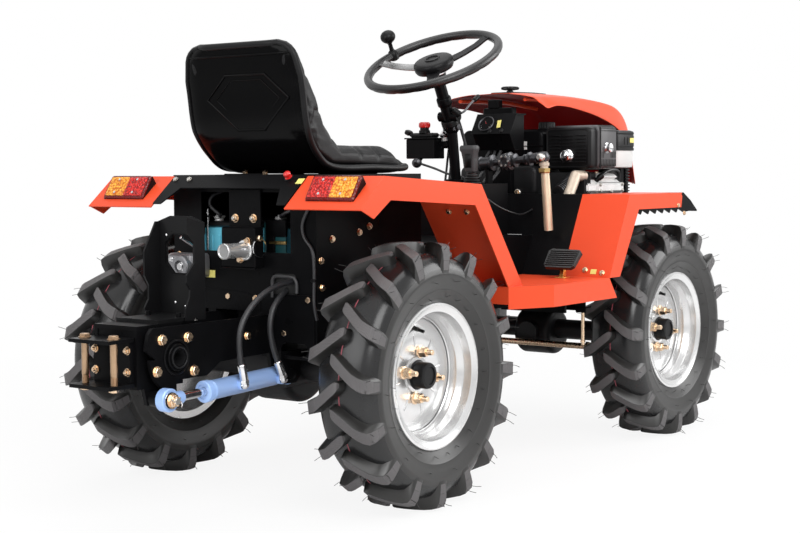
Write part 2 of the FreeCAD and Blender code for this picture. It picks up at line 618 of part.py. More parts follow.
def make_fender(side):
    """Rear fender: lamp panel, top and slanting front in one folded sheet, and the outer skirt."""
    tail, rear, front, foot = FENDER_TAIL, FENDER_REAR_TOP, FENDER_FRONT_TOP, LEG_FOOT
    low_rear = (rear[0] + 23, rear[1] - SKIRT_DEPTH - 4)
    low_front = (front[0] - 26, front[1] - SKIRT_DEPTH)
    skirt = plate_xz([tail, rear, front, foot, (foot[0] - LEG_WIDTH, foot[1]), low_front, low_rear, SKIRT_TIP],
                     FENDER_OUTER - SHEET, FENDER_OUTER)
    path = [tail, rear, front, foot]
    sheet = folded_sheet(path[::-1], SHEET, BODY_HALF_WIDTH, FENDER_OUTER)
    sheet = sheet.cut(box(-900, 900, 0, 900, FLOOR_TOP - 20, FLOOR_TOP))
    inner_tab = folded_sheet([rear, tail], SHEET, LAMP_PANEL_INNER, BODY_HALF_WIDTH)
    inner_tab = inner_tab.cut(box(BODY_REAR, 0, 0, 900, 0, 900))
    shape = fused(skirt, sheet, inner_tab)
    return shape if side > 0 else mirrored(shape)


def make_tail_lamp(side):
    """Wedge-shaped lamp on the slanted panel, with its lens steeper than the panel."""
    (x1, z1), (x0, z0) = FENDER_REAR_TOP, FENDER_TAIL
    slope = (z1 - z0) / (x1 - x0)
    top_on_panel = (LAMP_TOP[0] + 14, z1 + slope * (LAMP_TOP[0] + 14 - x1))
    bottom_on_panel = (LAMP_BOTTOM[0] + 2, z1 + slope * (LAMP_BOTTOM[0] + 2 - x1))
    outline = [LAMP_BOTTOM, LAMP_TOP, (LAMP_TOP[0] + 14, LAMP_TOP[1] + 2), top_on_panel, bottom_on_panel]
    shape = plate_xz(outline, LAMP_INNER, LAMP_OUTER)
    return shape if side > 0 else mirrored(shape)


# ---- footboards, mudguards and bulkhead ------------------------------------
def make_footboard(side):
    inner, outer, chamfer = TUNNEL_HALF_WIDTH, FLOOR_OUTER, FENDER_OUTER
    corner = FLOOR_REAR + FLOOR_CHAMFER
    outline = [(FLOOR_REAR, inner), (FLOOR_FRONT, inner), (FLOOR_FRONT, outer), (corner, outer),
               (FLOOR_REAR, chamfer)]
    floor = plate_xy(outline, CROSS_TOP, FLOOR_TOP)
    low = CROSS_TOP - FLOOR_LIP
    lip_front = FLOOR_FRONT + 42
    outer_lip = plate_xz([(corner, FLOOR_TOP), (FLOOR_FRONT, FLOOR_TOP), (lip_front, low), (corner, low)],
                         outer - SHEET, outer)
    dx, dy = corner - FLOOR_REAR, outer - chamfer
    length = sqrt(dx * dx + dy * dy)
    nx, ny = dy / length * SHEET, -dx / length * SHEET
    rear_lip = plate_xy([(FLOOR_REAR, chamfer), (corner, outer), (corner + nx, outer + ny),
                         (FLOOR_REAR + nx, chamfer + ny)], low, FLOOR_TOP)
    back_lip = box(FLOOR_REAR, FLOOR_REAR + SHEET, inner, chamfer, low + 12, FLOOR_TOP)
    for x in OUTRIGGER_PLACES:
        back_lip = back_lip.cut(box(x, x + CROSS_SIZE, 0, outer, RAIL_TOP, CROSS_TOP))
    shape = fused(floor, outer_lip, rear_lip, back_lip)
    return shape if side > 0 else mirrored(shape)


def make_mudguard(side):
    """Upright panel in front of the driver's foot and the arm forward over the front wheel."""
    foot, knee, nose = (FLOOR_FRONT, FLOOR_TOP), (PANEL_TOP_X, PANEL_TOP), (MUDGUARD_FRONT, PANEL_TOP)
    sheet = folded_sheet([nose, knee, foot], SHEET, MUDGUARD_INNER, FLOOR_OUTER)
    sheet = sheet.cut(box(0, 1500, 0, 900, FLOOR_TOP - 30, FLOOR_TOP))
    low = PANEL_TOP - MUDGUARD_LIP
    lip = plate_xz([foot, knee, (nose[0] - 8, nose[1]), (nose[0] + 2, nose[1] - 10), (nose[0] - 4, low),
                    (PANEL_TOP_X + 54, low), (FLOOR_FRONT + 59, FLOOR_TOP)], FLOOR_OUTER - SHEET, FLOOR_OUTER)
    shape = fused(sheet, lip)
    return shape if side > 0 else mirrored(shape)


def make_toothed_guard(side):
    """Black guard over the front tyre, turned down in front, with teeth along its outer edge."""
    top = PANEL_TOP - SHEET
    front = GUARD_EDGE_FRONT
    path = [(front, GUARD_EDGE_BOTTOM), (front - 45, top - 25), (front - 95, top), (PANEL_TOP_X + 60, top)]
    sheet = folded_sheet(path, GUARD_THICKNESS, MUDGUARD_INNER + 2, GUARD_EDGE_OUTER)
    start = PANEL_TOP_X + 110
    count = int((front - 60 - start) / TOOTH_PITCH)
    edge = [(PANEL_TOP_X + 60, top - GUARD_THICKNESS), (PANEL_TOP_X + 60, GUARD_EDGE_BOTTOM + 20)]
    for i in range(count):
        x = start + i * TOOTH_PITCH
        edge += [(x, GUARD_EDGE_BOTTOM + TOOTH_DEPTH - 4), (x + TOOTH_PITCH * 0.8, GUARD_EDGE_BOTTOM - 4)]
    edge += [(front - 8, GUARD_EDGE_BOTTOM + 2), (front - 49, top - 25 - GUARD_THICKNESS),
             (front - 97, top - GUARD_THICKNESS)]
    skirt = plate_xz(edge, GUARD_EDGE_OUTER - GUARD_THICKNESS, GUARD_EDGE_OUTER)
    shape = fused(sheet, skirt)
    return shape if side > 0 else mirrored(shape)


def make_bulkhead():
    foot, knee = (FLOOR_FRONT, FLOOR_TOP), (PANEL_TOP_X, PANEL_TOP)
    half = MUDGUARD_INNER - FACE_GAP
    sheet = folded_sheet([(knee[0] + 24, knee[1]), knee, foot], SHEET, -half, half)
    sheet = sheet.cut(box(0, 1500, -900, 900, FLOOR_TOP - 30, FLOOR_TOP))
    tunnel = box(0, 1500, -TUNNEL_HALF_WIDTH - FACE_GAP, TUNNEL_HALF_WIDTH + FACE_GAP, 0,
                 TUNNEL_TOP + FACE_GAP)
    console = box(0, CONSOLE_FRONT + FACE_GAP, -CONSOLE_HALF_WIDTH - FACE_GAP, CONSOLE_HALF_WIDTH + FACE_GAP,
                  0, 900)
    return sheet.cut([tunnel, console])


def make_console():
    """Cover over the drive line between the footboards, with the tower that carries the steering column."""
    def hollow(x0, x1, half, z0, z1):
        outer = box(x0, x1, -half, half, z0, z1)
        return outer, box(x0 + SHEET, x1 - SHEET, -half + SHEET, half - SHEET, z0 - 1, z1 - SHEET)
    low_outer, low_inner = hollow(BODY_FRONT + FACE_GAP, 815.0, TUNNEL_HALF_WIDTH, CROSS_TOP, TUNNEL_TOP)
    high_outer, high_inner = hollow(CONSOLE_REAR, CONSOLE_FRONT, CONSOLE_HALF_WIDTH, TUNNEL_TOP - SHEET - 1,
                                    CONSOLE_TOP)
    return low_outer.fuse(high_outer).cut([low_inner, high_inner]).removeSplitter()


def make_engine_deck():
    rear = PANEL_TOP_X + SHEET
    deck = box(rear, DECK_FRONT, -MUDGUARD_INNER + 1, MUDGUARD_INNER - 1, DECK_BOTTOM, DECK_TOP)
    pipe_hole = rod((920, -270, DECK_BOTTOM - 1), (920, -270, DECK_TOP + 1), PIPE_RADIUS + 14)
    return deck.cut(pipe_hole)


# ---- engine and its fittings ----------------------------------------------
def make_engine():
    """Engine as one plain block: crankcase, and the cylinder lying to the right."""
    case = box(ENGINE_REAR, ENGINE_FRONT, ENGINE_RIGHT, ENGINE_LEFT, DECK_TOP, DECK_TOP + ENGINE_HEIGHT)
    case = rounded(case, 20.0, lambda e: is_straight_along(e, V(1, 0, 0)) and e.Vertexes[0].Z > DECK_TOP + 1)
    cylinder = box(ENGINE_REAR + 30, ENGINE_FRONT, CYLINDER_RIGHT, ENGINE_RIGHT + 5, DECK_TOP,
                   DECK_TOP + CYLINDER_HEIGHT)
    cylinder = rounded(cylinder, 9.0,
                       lambda e: is_straight_along(e, V(0, 1, 0)) and e.Vertexes[0].Z > DECK_TOP + 1)
    return fused(case, cylinder)


def make_air_box():
    box_shape = box(AIR_BOX_REAR, AIR_BOX_FRONT, AIR_BOX_RIGHT, AIR_BOX_LEFT, AIR_BOX_BOTTOM, AIR_BOX_TOP)
    box_shape = rounded(box_shape, 12.0, lambda e: is_straight_along(e, V(1, 0, 0)))
    knob = rod((AIR_BOX_REAR - 16, -222, 822), (AIR_BOX_REAR + 2, -222, 822), 14.0)
    neck = box(AIR_BOX_REAR + 25, AIR_BOX_FRONT, AIR_BOX_RIGHT + 40, AIR_BOX_LEFT - 30,
               DECK_TOP + CYLINDER_HEIGHT, AIR_BOX_BOTTOM + 4)
    return fused(box_shape, knob, neck)


def make_cooling_cover():
    m = GRILLE_COVER_MARGIN
    cover = box(AIR_BOX_FRONT, GRILLE_COVER_FRONT, AIR_BOX_RIGHT - m, AIR_BOX_LEFT + m, AIR_BOX_BOTTOM,
                AIR_BOX_TOP + m)
    return rounded(cover, 16.0, lambda e: is_straight_along(e, V(1, 0, 0)))


def make_canister():
    body = box(CANISTER_REAR, CANISTER_FRONT, CANISTER_RIGHT, CANISTER_LEFT, AIR_BOX_BOTTOM + 3,
               CANISTER_SPLIT)
    body = rounded(body, 18.0, lambda e: is_straight_along(e, V(0, 0, 1)))
    cap = box(CANISTER_REAR - 3, CANISTER_FRONT + 3, CANISTER_RIGHT - 3, CANISTER_LEFT + 3, CANISTER_SPLIT,
              CANISTER_TOP)
    cap = rounded(cap, 14.0, lambda e: is_straight_along(e, V(0, 0, 1)))
    stand = [box(x, x + 20, CANISTER_RIGHT + 20, CANISTER_LEFT - 20, DECK_TOP, AIR_BOX_BOTTOM + 3)
             for x in (ENGINE_FRONT + 12, CANISTER_FRONT - 24)]
    return fused(body, cap, *stand)


def make_fuel_tank():
    tank = box(TANK_REAR, TANK_FRONT, TANK_RIGHT, TANK_LEFT, TANK_BOTTOM, TANK_TOP)
    tank = rounded(tank, 16.0, lambda e: is_straight_along(e, V(0, 1, 0)))
    cap = rod((*FILLER_PLACE, TANK_TOP - 1), (*FILLER_PLACE, TANK_TOP + FILLER_HEIGHT), FILLER_RADIUS)
    feet = [box(x, x + 24, ENGINE_RIGHT + 30, ENGINE_LEFT - 30, DECK_TOP + ENGINE_HEIGHT, TANK_BOTTOM + 2)
            for x in (TANK_REAR + 30, TANK_FRONT - 54)]
    return fused(tank, cap, *feet)


def make_exhaust_pipe():
    """Pipe down from the engine's right side, through the deck, to behind the bulkhead."""
    top, bend, end = (976.0, -262.0, 764.0), (924.0, -270.0, 712.0), (905.0, -270.0, 645.0)
    joint = Part.makeSphere(PIPE_RADIUS, V(*bend))
    flange = rod(top, (ENGINE_REAR + 30, top[1], top[2]), PIPE_RADIUS)
    elbow = Part.makeSphere(PIPE_RADIUS, V(*top))
    return fused(rod(top, bend, PIPE_RADIUS), joint, rod(bend, end, PIPE_RADIUS), elbow, flange)


def make_silencer():
    """Silencer across the tractor behind the tank, its flanged pipe and the elbow down to the tail pipe."""
    x, y, z = TAIL_PIPE_TOP
    start, end = SILENCER_DRUM
    low = z - SILENCER_DROP
    drum = rod((x, start, low), (x, end, low), SILENCER_RADIUS)
    parts = [rod((x, end + 2, low), (x, y, z), SILENCER_PIPE_RADIUS)]
    for ring_start, ring_end, radius in SILENCER_RINGS:
        share = ((ring_start + ring_end) / 2 - end) / (y - end)
        height = low + SILENCER_DROP * share
        parts.append(rod((x, ring_start, height), (x, ring_end, height), radius))
    parts.append(Part.makeSphere(15.0, V(x, y, z)))
    parts.append(rod((x, y, z), (x, y, z - TAIL_PIPE_DROP), 11.0))
    stay = box(x - 12, x + 12, start - 40, start - 28, CONSOLE_TOP, low - 10)
    return fused(drum, stay, *parts)


def make_tail_pipe():
    x, y, z = TAIL_PIPE_TOP
    top = (x + 3, y, z - TAIL_PIPE_DROP)
    length = TAIL_PIPE_LENGTH - TAIL_PIPE_DROP
    lean = radians(TAIL_PIPE_LEAN)
    end = (top[0] + length * sin(lean), y, top[2] - length * cos(lean))
    collar = rod((x, y, top[2]), (x, y, top[2] - TAIL_PIPE_COLLAR), TAIL_PIPE_RADIUS + 3)
    pipe = rod(top, end, TAIL_PIPE_RADIUS)
    hollow = rod(point_on(top, end, 0.3), point_on(top, end, 1.01), TAIL_PIPE_RADIUS - 2)
    above = box(x - 40, x + 40, y - 40, y + 40, top[2], z)
    return fused(collar, pipe).cut([hollow, above])


# ---- seat, steering and controls -------------------------------------------
def seat_path():
    return [SEAT_TOP, SEAT_BACK_FOOT, SEAT_BEND, SEAT_HEEL, SEAT_FRONT, SEAT_LIP_TOP]


def make_seat_pan():
    shape = folded_sheet(seat_path(), PAN_THICKNESS, -SEAT_HALF_WIDTH, SEAT_HALF_WIDTH)
    feet = [box(x, x + 40, -SEAT_HALF_WIDTH + 50, SEAT_HALF_WIDTH - 50, BODY_TOP, SEAT_HEEL[1] + 1)
            for x in (5.0, 165.0)]
    return fused(shape, *feet)


def make_seat_cushion():
    near = offset_path(seat_path(), PAN_THICKNESS + FACE_GAP)
    near[0] = point_on(near[0], near[1], CUSHION_INSET / 200.0)
    near[-1] = point_on(near[-1], near[-2], CUSHION_INSET / 30.0)
    half = SEAT_HALF_WIDTH - CUSHION_INSET
    return plate_xz(near + list(CUSHION_FACE)[::-1], -half, half)


def along_column(distance, y=0.0):
    return (WHEEL_CENTRE[0] - WHEEL_AXIS[0] * distance, y, WHEEL_CENTRE[1] - WHEEL_AXIS[1] * distance)


def make_steering_wheel():
    axis = V(WHEEL_AXIS[0], 0, WHEEL_AXIS[1])
    centre = V(WHEEL_CENTRE[0], 0, WHEEL_CENTRE[1])
    across = V(WHEEL_AXIS[1], 0, -WHEEL_AXIS[0])
    rim = Part.makeTorus(STEERING_WHEEL_RADIUS, STEERING_RIM_RADIUS, centre, axis)
    parts = [Part.makeCylinder(42.0, 26.0, centre - axis * 22, axis),
             Part.makeCylinder(24.0, 22.0, centre - axis * 42, axis)]
    for turn in (90.0, 210.0, 330.0):
        direction = across * cos(radians(turn)) + V(0, 1, 0) * sin(radians(turn))
        start = centre + direction * 30 - axis * 10
        end = centre + direction * STEERING_WHEEL_RADIUS
        parts.append(Part.makeCylinder(8.0, (end - start).Length, start, end - start))
    turn = radians(SPINNER_ANGLE)
    knob_foot = centre + (V(0, 1, 0) * cos(turn) + across * sin(turn)) * STEERING_WHEEL_RADIUS
    parts.append(Part.makeCylinder(5.0, SPINNER_HEIGHT, knob_foot, axis))
    parts.append(Part.makeSphere(SPINNER_RADIUS, knob_foot + axis * SPINNER_HEIGHT, axis))
    return fused(rim, *parts)


def make_column():
    joint = along_column(COLUMN_JOINT_DROP)
    upper = rod(along_column(42.0 + FACE_GAP), joint, COLUMN_RADIUS)
    ball = Part.makeSphere(COLUMN_RADIUS + 5, V(*joint))
    lower = rod(joint, (COLUMN_FOOT[0], 0, COLUMN_FOOT[1]), COLUMN_RADIUS - 2)
    clamp = rod(along_column(170.0, -34), along_column(170.0, 30), 14.0)
    foot = rod((COLUMN_FOOT[0], 0, CONSOLE_TOP), (COLUMN_FOOT[0], 0, CONSOLE_TOP + 12), 34.0)
    below = box(600, 900, -60, 60, CONSOLE_TOP - 40, CONSOLE_TOP)
    return fused(upper, ball, lower, clamp, foot).cut(below)


def make_instrument_box():
    """Sloping instrument box on a post that stands on the deck behind the engine."""
    r, f, b, t = INSTRUMENT_REAR, INSTRUMENT_FRONT, INSTRUMENT_BOTTOM, INSTRUMENT_TOP
    body = plate_xz([(r, b + 52), (r + 18, t), (f, t), (f, b), (r + 24, b)],
                    INSTRUMENT_RIGHT, INSTRUMENT_LEFT)
    stay = box(f - 24, f - 4, INSTRUMENT_RIGHT + 30, INSTRUMENT_LEFT - 30, DECK_TOP, b + 2)
    return fused(body, stay)


def make_control_box():
    """Small box on the left of the column, with its switch and stop button."""
    joint = along_column(COLUMN_JOINT_DROP)
    body = box(joint[0] - 32, joint[0] + 22, 40, 138, 815, 876)
    top = box(joint[0] - 22, joint[0] + 12, 56, 120, 876, 900)
    button = rod((joint[0] - 5, 88, 899), (joint[0] - 5, 88, 922), 14.0)
    arm = box(joint[0] - 2, joint[0] + 14, 0, 42, 850, 866)
    column = rod(joint, (COLUMN_FOOT[0], 0, COLUMN_FOOT[1]), COLUMN_RADIUS - 2 + FACE_GAP)
    behind = box(joint[0] - 30, joint[0] + 40, -30, 8, 840, 880)
    return fused(body, top, button, arm.cut([column, behind]))


def make_gear_lever():
    x, y = 652.0, -122.0
    boot = lathe([(0, 0), (24, 0), (13, 32), (0, 32)], 0.0)
    boot.rotate(V(0, 0, 0), V(1, 0, 0), 90)
    boot = boot.translated(V(x, y, CONSOLE_TOP))
    stem = rod((x, y, CONSOLE_TOP + 20), (x, y, CONSOLE_TOP + 70), 7.0)
    grip = rod((x, y, CONSOLE_TOP + 36), (x, y, CONSOLE_TOP + 100), 13.0)
    head = rod((x, y - 20, CONSOLE_TOP + 100), (x, y + 20, CONSOLE_TOP + 100), 14.0)
    return fused(boot, stem, grip, head)


def make_brake_pedal():
    """Pedal through the right footboard, with its shaft in the frame below."""
    pad = plate_xz([(672, 512), (676, 508), (728, 562), (724, 566)], -432, -330)
    arm = plate_xz([(694, FLOOR_TOP + FACE_GAP), (708, FLOOR_TOP + FACE_GAP), (712, 548), (700, 538)],
                   -386, -374)
    foot = box(684, 718, -396, -364, FLOOR_TOP, FLOOR_TOP + 3)
    return fused(pad, arm, foot)


# ---- hood -------------------------------------------------------------------
def nose_normal():
    rise, run = HOOD_NOSE_BEND[1] - HOOD_NOSE_FOOT[1], HOOD_NOSE_FOOT[0] - HOOD_NOSE_BEND[0]
    return V(rise, 0, run).normalize()


def nose_point(z, y):
    (x1, z1), (x0, z0) = HOOD_NOSE_BEND, HOOD_NOSE_FOOT
    return V(x0 + (x1 - x0) * (z - z0) / (z1 - z0), y, z)


def make_hood():
    """Hood shell: top, flared side skirts and the nose down to its hinge."""
    rear = (HOOD_REAR, HOOD_TOP - 4)
    crown = [rear, *HOOD_CROWN, HOOD_NOSE_BEND, HOOD_NOSE_FOOT]
    sheet = folded_sheet(crown[::-1], SHEET, -HOOD_TOP_HALF_WIDTH, HOOD_TOP_HALF_WIDTH)
    places = [rear, (958.0, HOOD_TOP - 3), (1010.0, HOOD_TOP - 2), *crown[1:]]
    skirt_parts = []
    for side in (1, -1):
        inner, outer = side * HOOD_TOP_HALF_WIDTH, side * HOOD_HALF_WIDTH
        sections = []
        for (x, z), (drop, spread) in zip(places, HOOD_SKIRT_SHAPE):
            y1 = inner + (outer - inner) * spread
            back = max(0.0, min(1.0, (x - 1400) / 60)) * HOOD_SKIRT
            sections.append(Part.makePolygon([
                V(x, inner - side * 2, z), V(x - back, y1, z - drop), V(x - back, y1 - side * 3, z - drop - 3),
                V(x, inner - side * 5, z - 3), V(x, inner - side * 2, z)]))
        skirt_parts.append(Part.makeLoft(sections, True, True))
    shape = fused(sheet, *skirt_parts)
    notch = box(HOOD_REAR - 5, HOOD_REAR + HOOD_NOTCH_LENGTH, -HOOD_NOTCH_HALF_WIDTH, HOOD_NOTCH_HALF_WIDTH,
                HOOD_TOP - 40, HOOD_TOP + 20)
    holes = [Part.makeCylinder(HEAD_LAMP_RADIUS + FACE_GAP, 60.0,
                               nose_point(HEAD_LAMP_HEIGHT, y) - nose_normal() * 30,
                               nose_normal()) for y in (-HEAD_LAMP_Y, HEAD_LAMP_Y)]
    shape = shape.cut([notch] + holes)
    (hinge_x, hinge_z), (foot_x, foot_z) = HOOD_HINGE, HOOD_NOSE_FOOT
    outline = [(hinge_x - 12, hinge_z + 4), (hinge_x, hinge_z - 12), (hinge_x + 12, hinge_z),
               (foot_x - 1, foot_z + 2), (foot_x - 12, foot_z + 34)]
    lugs = []
    for lug_y in (-HINGE_LUG_PLACE, HINGE_LUG_PLACE):
        inward = 1 if lug_y > 0 else -1
        near = lug_y + inward * 5.5
        lug = plate_xz(outline, *sorted((near, near + inward * HINGE_LUG_WIDTH)))
        hole = rod((hinge_x, lug_y - 30, hinge_z), (hinge_x, lug_y + 30, hinge_z),
                   HINGE_PIN_RADIUS + RUNNING_CLEARANCE)
        lugs.append(lug.cut(hole))
    return fused(shape, *lugs)


def make_head_lamps():
    lamps = []
    normal = nose_normal()
    for side in (1, -1):
        place = nose_point(HEAD_LAMP_HEIGHT, side * HEAD_LAMP_Y)
        body = Part.makeCylinder(HEAD_LAMP_RADIUS, 26.0, place - normal * 24, normal)
        flange = Part.makeCylinder(HEAD_LAMP_RADIUS + 7, 5.0, place, normal)
        lamps.append(fused(body, flange))
    return Part.makeCompound(lamps)


# ---- hitch -----------------------------------------------------------------
def make_hitch_bracket():
    """Two plates back from the frame, joined by the pivot tube, with the cylinder's front lug."""
    px, pz = PIVOT
    side_plates = []
    for side in (1, -1):
        y0, y1 = sorted((side * PLATE_INNER, side * (PLATE_INNER + PLATE_THICKNESS)))
        outline = [(px - 82, PLATE_TOP - 12), (px - 70, PLATE_TOP), (-60, PLATE_TOP), (-60, 358), (-330, 354),
                   (px + 96, 327), (px, 327), (px - 90, 400)]
        body = plate_xz(outline, y0, y1)
        disc = rod((px, y0, pz), (px, y1, pz), HITCH_ARC)
        keep = body.common(box(px, 0, -200, 200, 0, 900)).fuse(
            body.common(box(px - 300, px, -200, 200, pz, 900))).fuse(
            disc.common(box(px - 300, px, -200, 200, 0, pz)))
        side_plates.append(keep.removeSplitter())
    tube = rod((px, -PLATE_INNER - PLATE_THICKNESS - 12, pz), (px, PLATE_INNER + PLATE_THICKNESS + 12, pz),
               PIVOT_RADIUS)
    bore = rod((px, -200, pz), (px, 200, pz), PIVOT_RADIUS - 6)
    bx, bz = BARREL_PIN
    lug = plate_xz([(bx - 34, 360), (bx - 16, bz - 20), (bx + 16, bz - 20), (bx + 34, 360)],
                   -PLATE_INNER - PLATE_THICKNESS, -PLATE_INNER)
    pin = rod((bx, -PLATE_INNER - 2, bz), (bx, CYLINDER_Y - EYE_WIDTH / 2 - 8, bz), BARREL_PIN_RADIUS)
    return fused(side_plates[0], side_plates[1], tube, lug, pin).cut(bore)


def make_coupler():
    """Swinging box on the pivot tube, with the jaws for the hitch pins and the lug for the lift cylinder."""
    px, pz = PIVOT
    w, t = COUPLER_HALF_WIDTH, COUPLER_WALL
    front = px + 44
    outer = box(COUPLER_REAR, front, -w, w, COUPLER_BOTTOM, COUPLER_TOP)
    inner = box(COUPLER_REAR + 24, front + 1, -w + t, w - t, COUPLER_BOTTOM + t, COUPLER_TOP - t)
    rear_pocket = box(COUPLER_REAR - 1, JAW_WEB + 14, -w + t, w - t, COUPLER_BOTTOM + t, COUPLER_TOP - t)
    shape = outer.cut([inner, rear_pocket])
    jaws = [
        box(JAW_REAR, JAW_WEB + 8, -JAW_HALF_WIDTH, JAW_HALF_WIDTH, JAW_TOP - JAW_THICKNESS, JAW_TOP),
        box(JAW_REAR, JAW_WEB + 8, -JAW_HALF_WIDTH, JAW_HALF_WIDTH, JAW_BOTTOM, JAW_BOTTOM + JAW_THICKNESS),
        box(JAW_WEB, COUPLER_REAR + 1, -w + t, w - t, JAW_BOTTOM, JAW_TOP),
    ]
    lug_y0 = CYLINDER_Y + EYE_WIDTH / 2 + 1
    arm = plate_xz([(px - 80, COUPLER_BOTTOM + 20), (px + 30, COUPLER_BOTTOM + 20),
                    (ROD_PIN[0] + 16, ROD_PIN[1] - 14), (ROD_PIN[0] - 16, ROD_PIN[1] - 14)], -w, -w + t)
    pin = rod((ROD_PIN[0], -w + 1, ROD_PIN[1]), (ROD_PIN[0], CYLINDER_Y - EYE_WIDTH / 2 - 14, ROD_PIN[1]),
              ROD_PIN_RADIUS)
    shoulder = rod((ROD_PIN[0], -w, ROD_PIN[1]), (ROD_PIN[0], lug_y0 - 1 + FACE_GAP, ROD_PIN[1]),
                   ROD_PIN_RADIUS + 8)
    washer = rod((ROD_PIN[0], CYLINDER_Y - EYE_WIDTH / 2 - 1, ROD_PIN[1]),
                 (ROD_PIN[0], CYLINDER_Y - EYE_WIDTH / 2 - 5, ROD_PIN[1]), ROD_PIN_RADIUS + 9)
    shape = fused(shape, *jaws, arm, pin, shoulder, washer)
    cuts = [rod((px, -200, pz), (px, 200, pz), PIVOT_RADIUS + RUNNING_CLEARANCE)]
    for y in (-HITCH_PIN_Y, HITCH_PIN_Y):
        cuts.append(rod((HITCH_PIN_X, y, 200), (HITCH_PIN_X, y, 500), HITCH_PIN_RADIUS + HITCH_PIN_CLEARANCE))
    return shape.cut(cuts)


def make_coupler_tower():
    """Upright channel on the coupler: a web with an eight-sided hole, and wavy flanges pointing back."""
    f, w = TOWER_FRONT, TOWER_HALF_WIDTH
    t = 5.0
    foot = COUPLER_TOP
    web = plate_yz([(-w, foot), (w, foot), (w, TOWER_TOP - 5), (w * 0.45, TOWER_TOP + 8),
                    (-w * 0.45, TOWER_TOP + 8), (-w, TOWER_TOP - 5)], f - t, f)
    hole = plate_yz(TOWER_HOLE, f - t - 1, f + 1)
    parts = []
    for side, edge in ((1, TOWER_LEFT_EDGE), (-1, TOWER_RIGHT_EDGE)):
        y0, y1 = sorted((side * (w - t), side * w))
        parts.append(plate_xz([(f, foot), (edge[0][0], foot), *edge, (f, TOWER_TOP - 5)], y0, y1))
    base = box(PIVOT[0] - 30, f, -COUPLER_HALF_WIDTH, COUPLER_HALF_WIDTH, foot, foot + 8)
    return fused(web.cut(hole), base, *parts)


def make_coupler_pins():
    pins = []
    for y in (-HITCH_PIN_Y, HITCH_PIN_Y):
        pin = rod((HITCH_PIN_X, y, JAW_BOTTOM - 8), (HITCH_PIN_X, y, JAW_TOP + FACE_GAP), HITCH_PIN_RADIUS)
        head = rod((HITCH_PIN_X, y, JAW_TOP + FACE_GAP), (HITCH_PIN_X, y, JAW_TOP + 8), HITCH_PIN_RADIUS + 6)
        pins.append(fused(pin, head))
    return Part.makeCompound(pins)


def along_cylinder(distance, y=CYLINDER_Y):
    """A point on the lift cylinder's line, this far back from its front pin."""
    dx, dz = ROD_PIN[0] - BARREL_PIN[0], ROD_PIN[1] - BARREL_PIN[1]
    length = sqrt(dx * dx + dz * dz)
    return (BARREL_PIN[0] + dx * distance / length, y, BARREL_PIN[1] + dz * distance / length)


def eye(place, bore_radius):
    y0, y1 = CYLINDER_Y - EYE_WIDTH / 2, CYLINDER_Y + EYE_WIDTH / 2
    ring = rod((place[0], y0, place[1]), (place[0], y1, place[1]), EYE_RADIUS)
    return ring, rod((place[0], y0 - 1, place[1]), (place[0], y1 + 1, place[1]), bore_radius)


def make_cylinder_barrel():
    barrel = rod(along_cylinder(BARREL_FRONT), along_cylinder(BARREL_REACH), BARREL_RADIUS)
    gland = rod(along_cylinder(BARREL_REACH - 14), along_cylinder(BARREL_REACH), BARREL_RADIUS + 3)
    ring, hole = eye(BARREL_PIN, BARREL_PIN_RADIUS + RUNNING_CLEARANCE)
    neck = rod(along_cylinder(15), along_cylinder(BARREL_FRONT + 2), 14.0)
    bore = rod(along_cylinder(BARREL_FRONT + 16), along_cylinder(BARREL_REACH + 1),
               ROD_RADIUS + RUNNING_CLEARANCE * 10)
    shape = fused(barrel, gland, ring, neck).cut([hole, bore])
    for route in (REAR_HOSE, FRONT_HOSE):
        first, second = V(*route[0]), V(*route[1])
        direction = (second - first).normalize()
        elbow = first - direction * 45
        ferrule = Part.makeCylinder(PORT_RADIUS, 45, elbow, direction)
        side_boss = rod((elbow.x, CYLINDER_Y - BARREL_RADIUS + 6, elbow.z),
                        (elbow.x, PORT_Y - PORT_RADIUS, elbow.z), PORT_RADIUS)
        shape = shape.fuse([ferrule, Part.makeSphere(PORT_RADIUS, elbow), side_boss])
    return shape.cut(bore).removeSplitter()


def make_cylinder_rod():
    length = sqrt((ROD_PIN[0] - BARREL_PIN[0]) ** 2 + (ROD_PIN[1] - BARREL_PIN[1]) ** 2)
    stem = rod(along_cylinder(BARREL_FRONT + 80), along_cylinder(length - 20), ROD_RADIUS)
    ring, hole = eye(ROD_PIN, ROD_PIN_RADIUS + ROD_PIN_PLAY)
    return fused(stem, ring).cut(hole)


def make_hose(route):
    """Round hose along straight runs and tangent arcs. Returns the solid and its bend radii."""
    points = [V(*p) for p in route]
    edges, radii, start = [], [], points[0]
    for i in range(1, len(points) - 1):
        back, ahead = points[i - 1] - points[i], points[i + 1] - points[i]
        turn = acos(max(-1.0, min(1.0, -back.dot(ahead) / back.Length / ahead.Length)))
        reach = HOSE_BEND_SHARE * min(back.Length, ahead.Length)
        radii.append(reach / tan(turn / 2))
        a = points[i] + back.normalize() * reach
        b = points[i] + ahead.normalize() * reach
        bisector = (back + ahead).normalize()
        middle = points[i] + bisector * (radii[-1] / cos(turn / 2) - radii[-1])
        edges += [Part.LineSegment(start, a).toShape(), Part.Arc(a, middle, b).toShape()]
        start = b
    edges.append(Part.LineSegment(start, points[-1]).toShape())
    path = Part.Wire(edges)
    circle = Part.Wire(Part.Circle(points[0], points[1] - points[0], HOSE_RADIUS).toShape())
    pipe = path.makePipeShell([circle], True, True)
    section = pi * HOSE_RADIUS ** 2
    print("hose radii", [round(r) for r in radii], "length", round(path.Length, 1),
          "volume over section times length", round(pipe.Volume / (section * path.Length), 4))
    return pipe


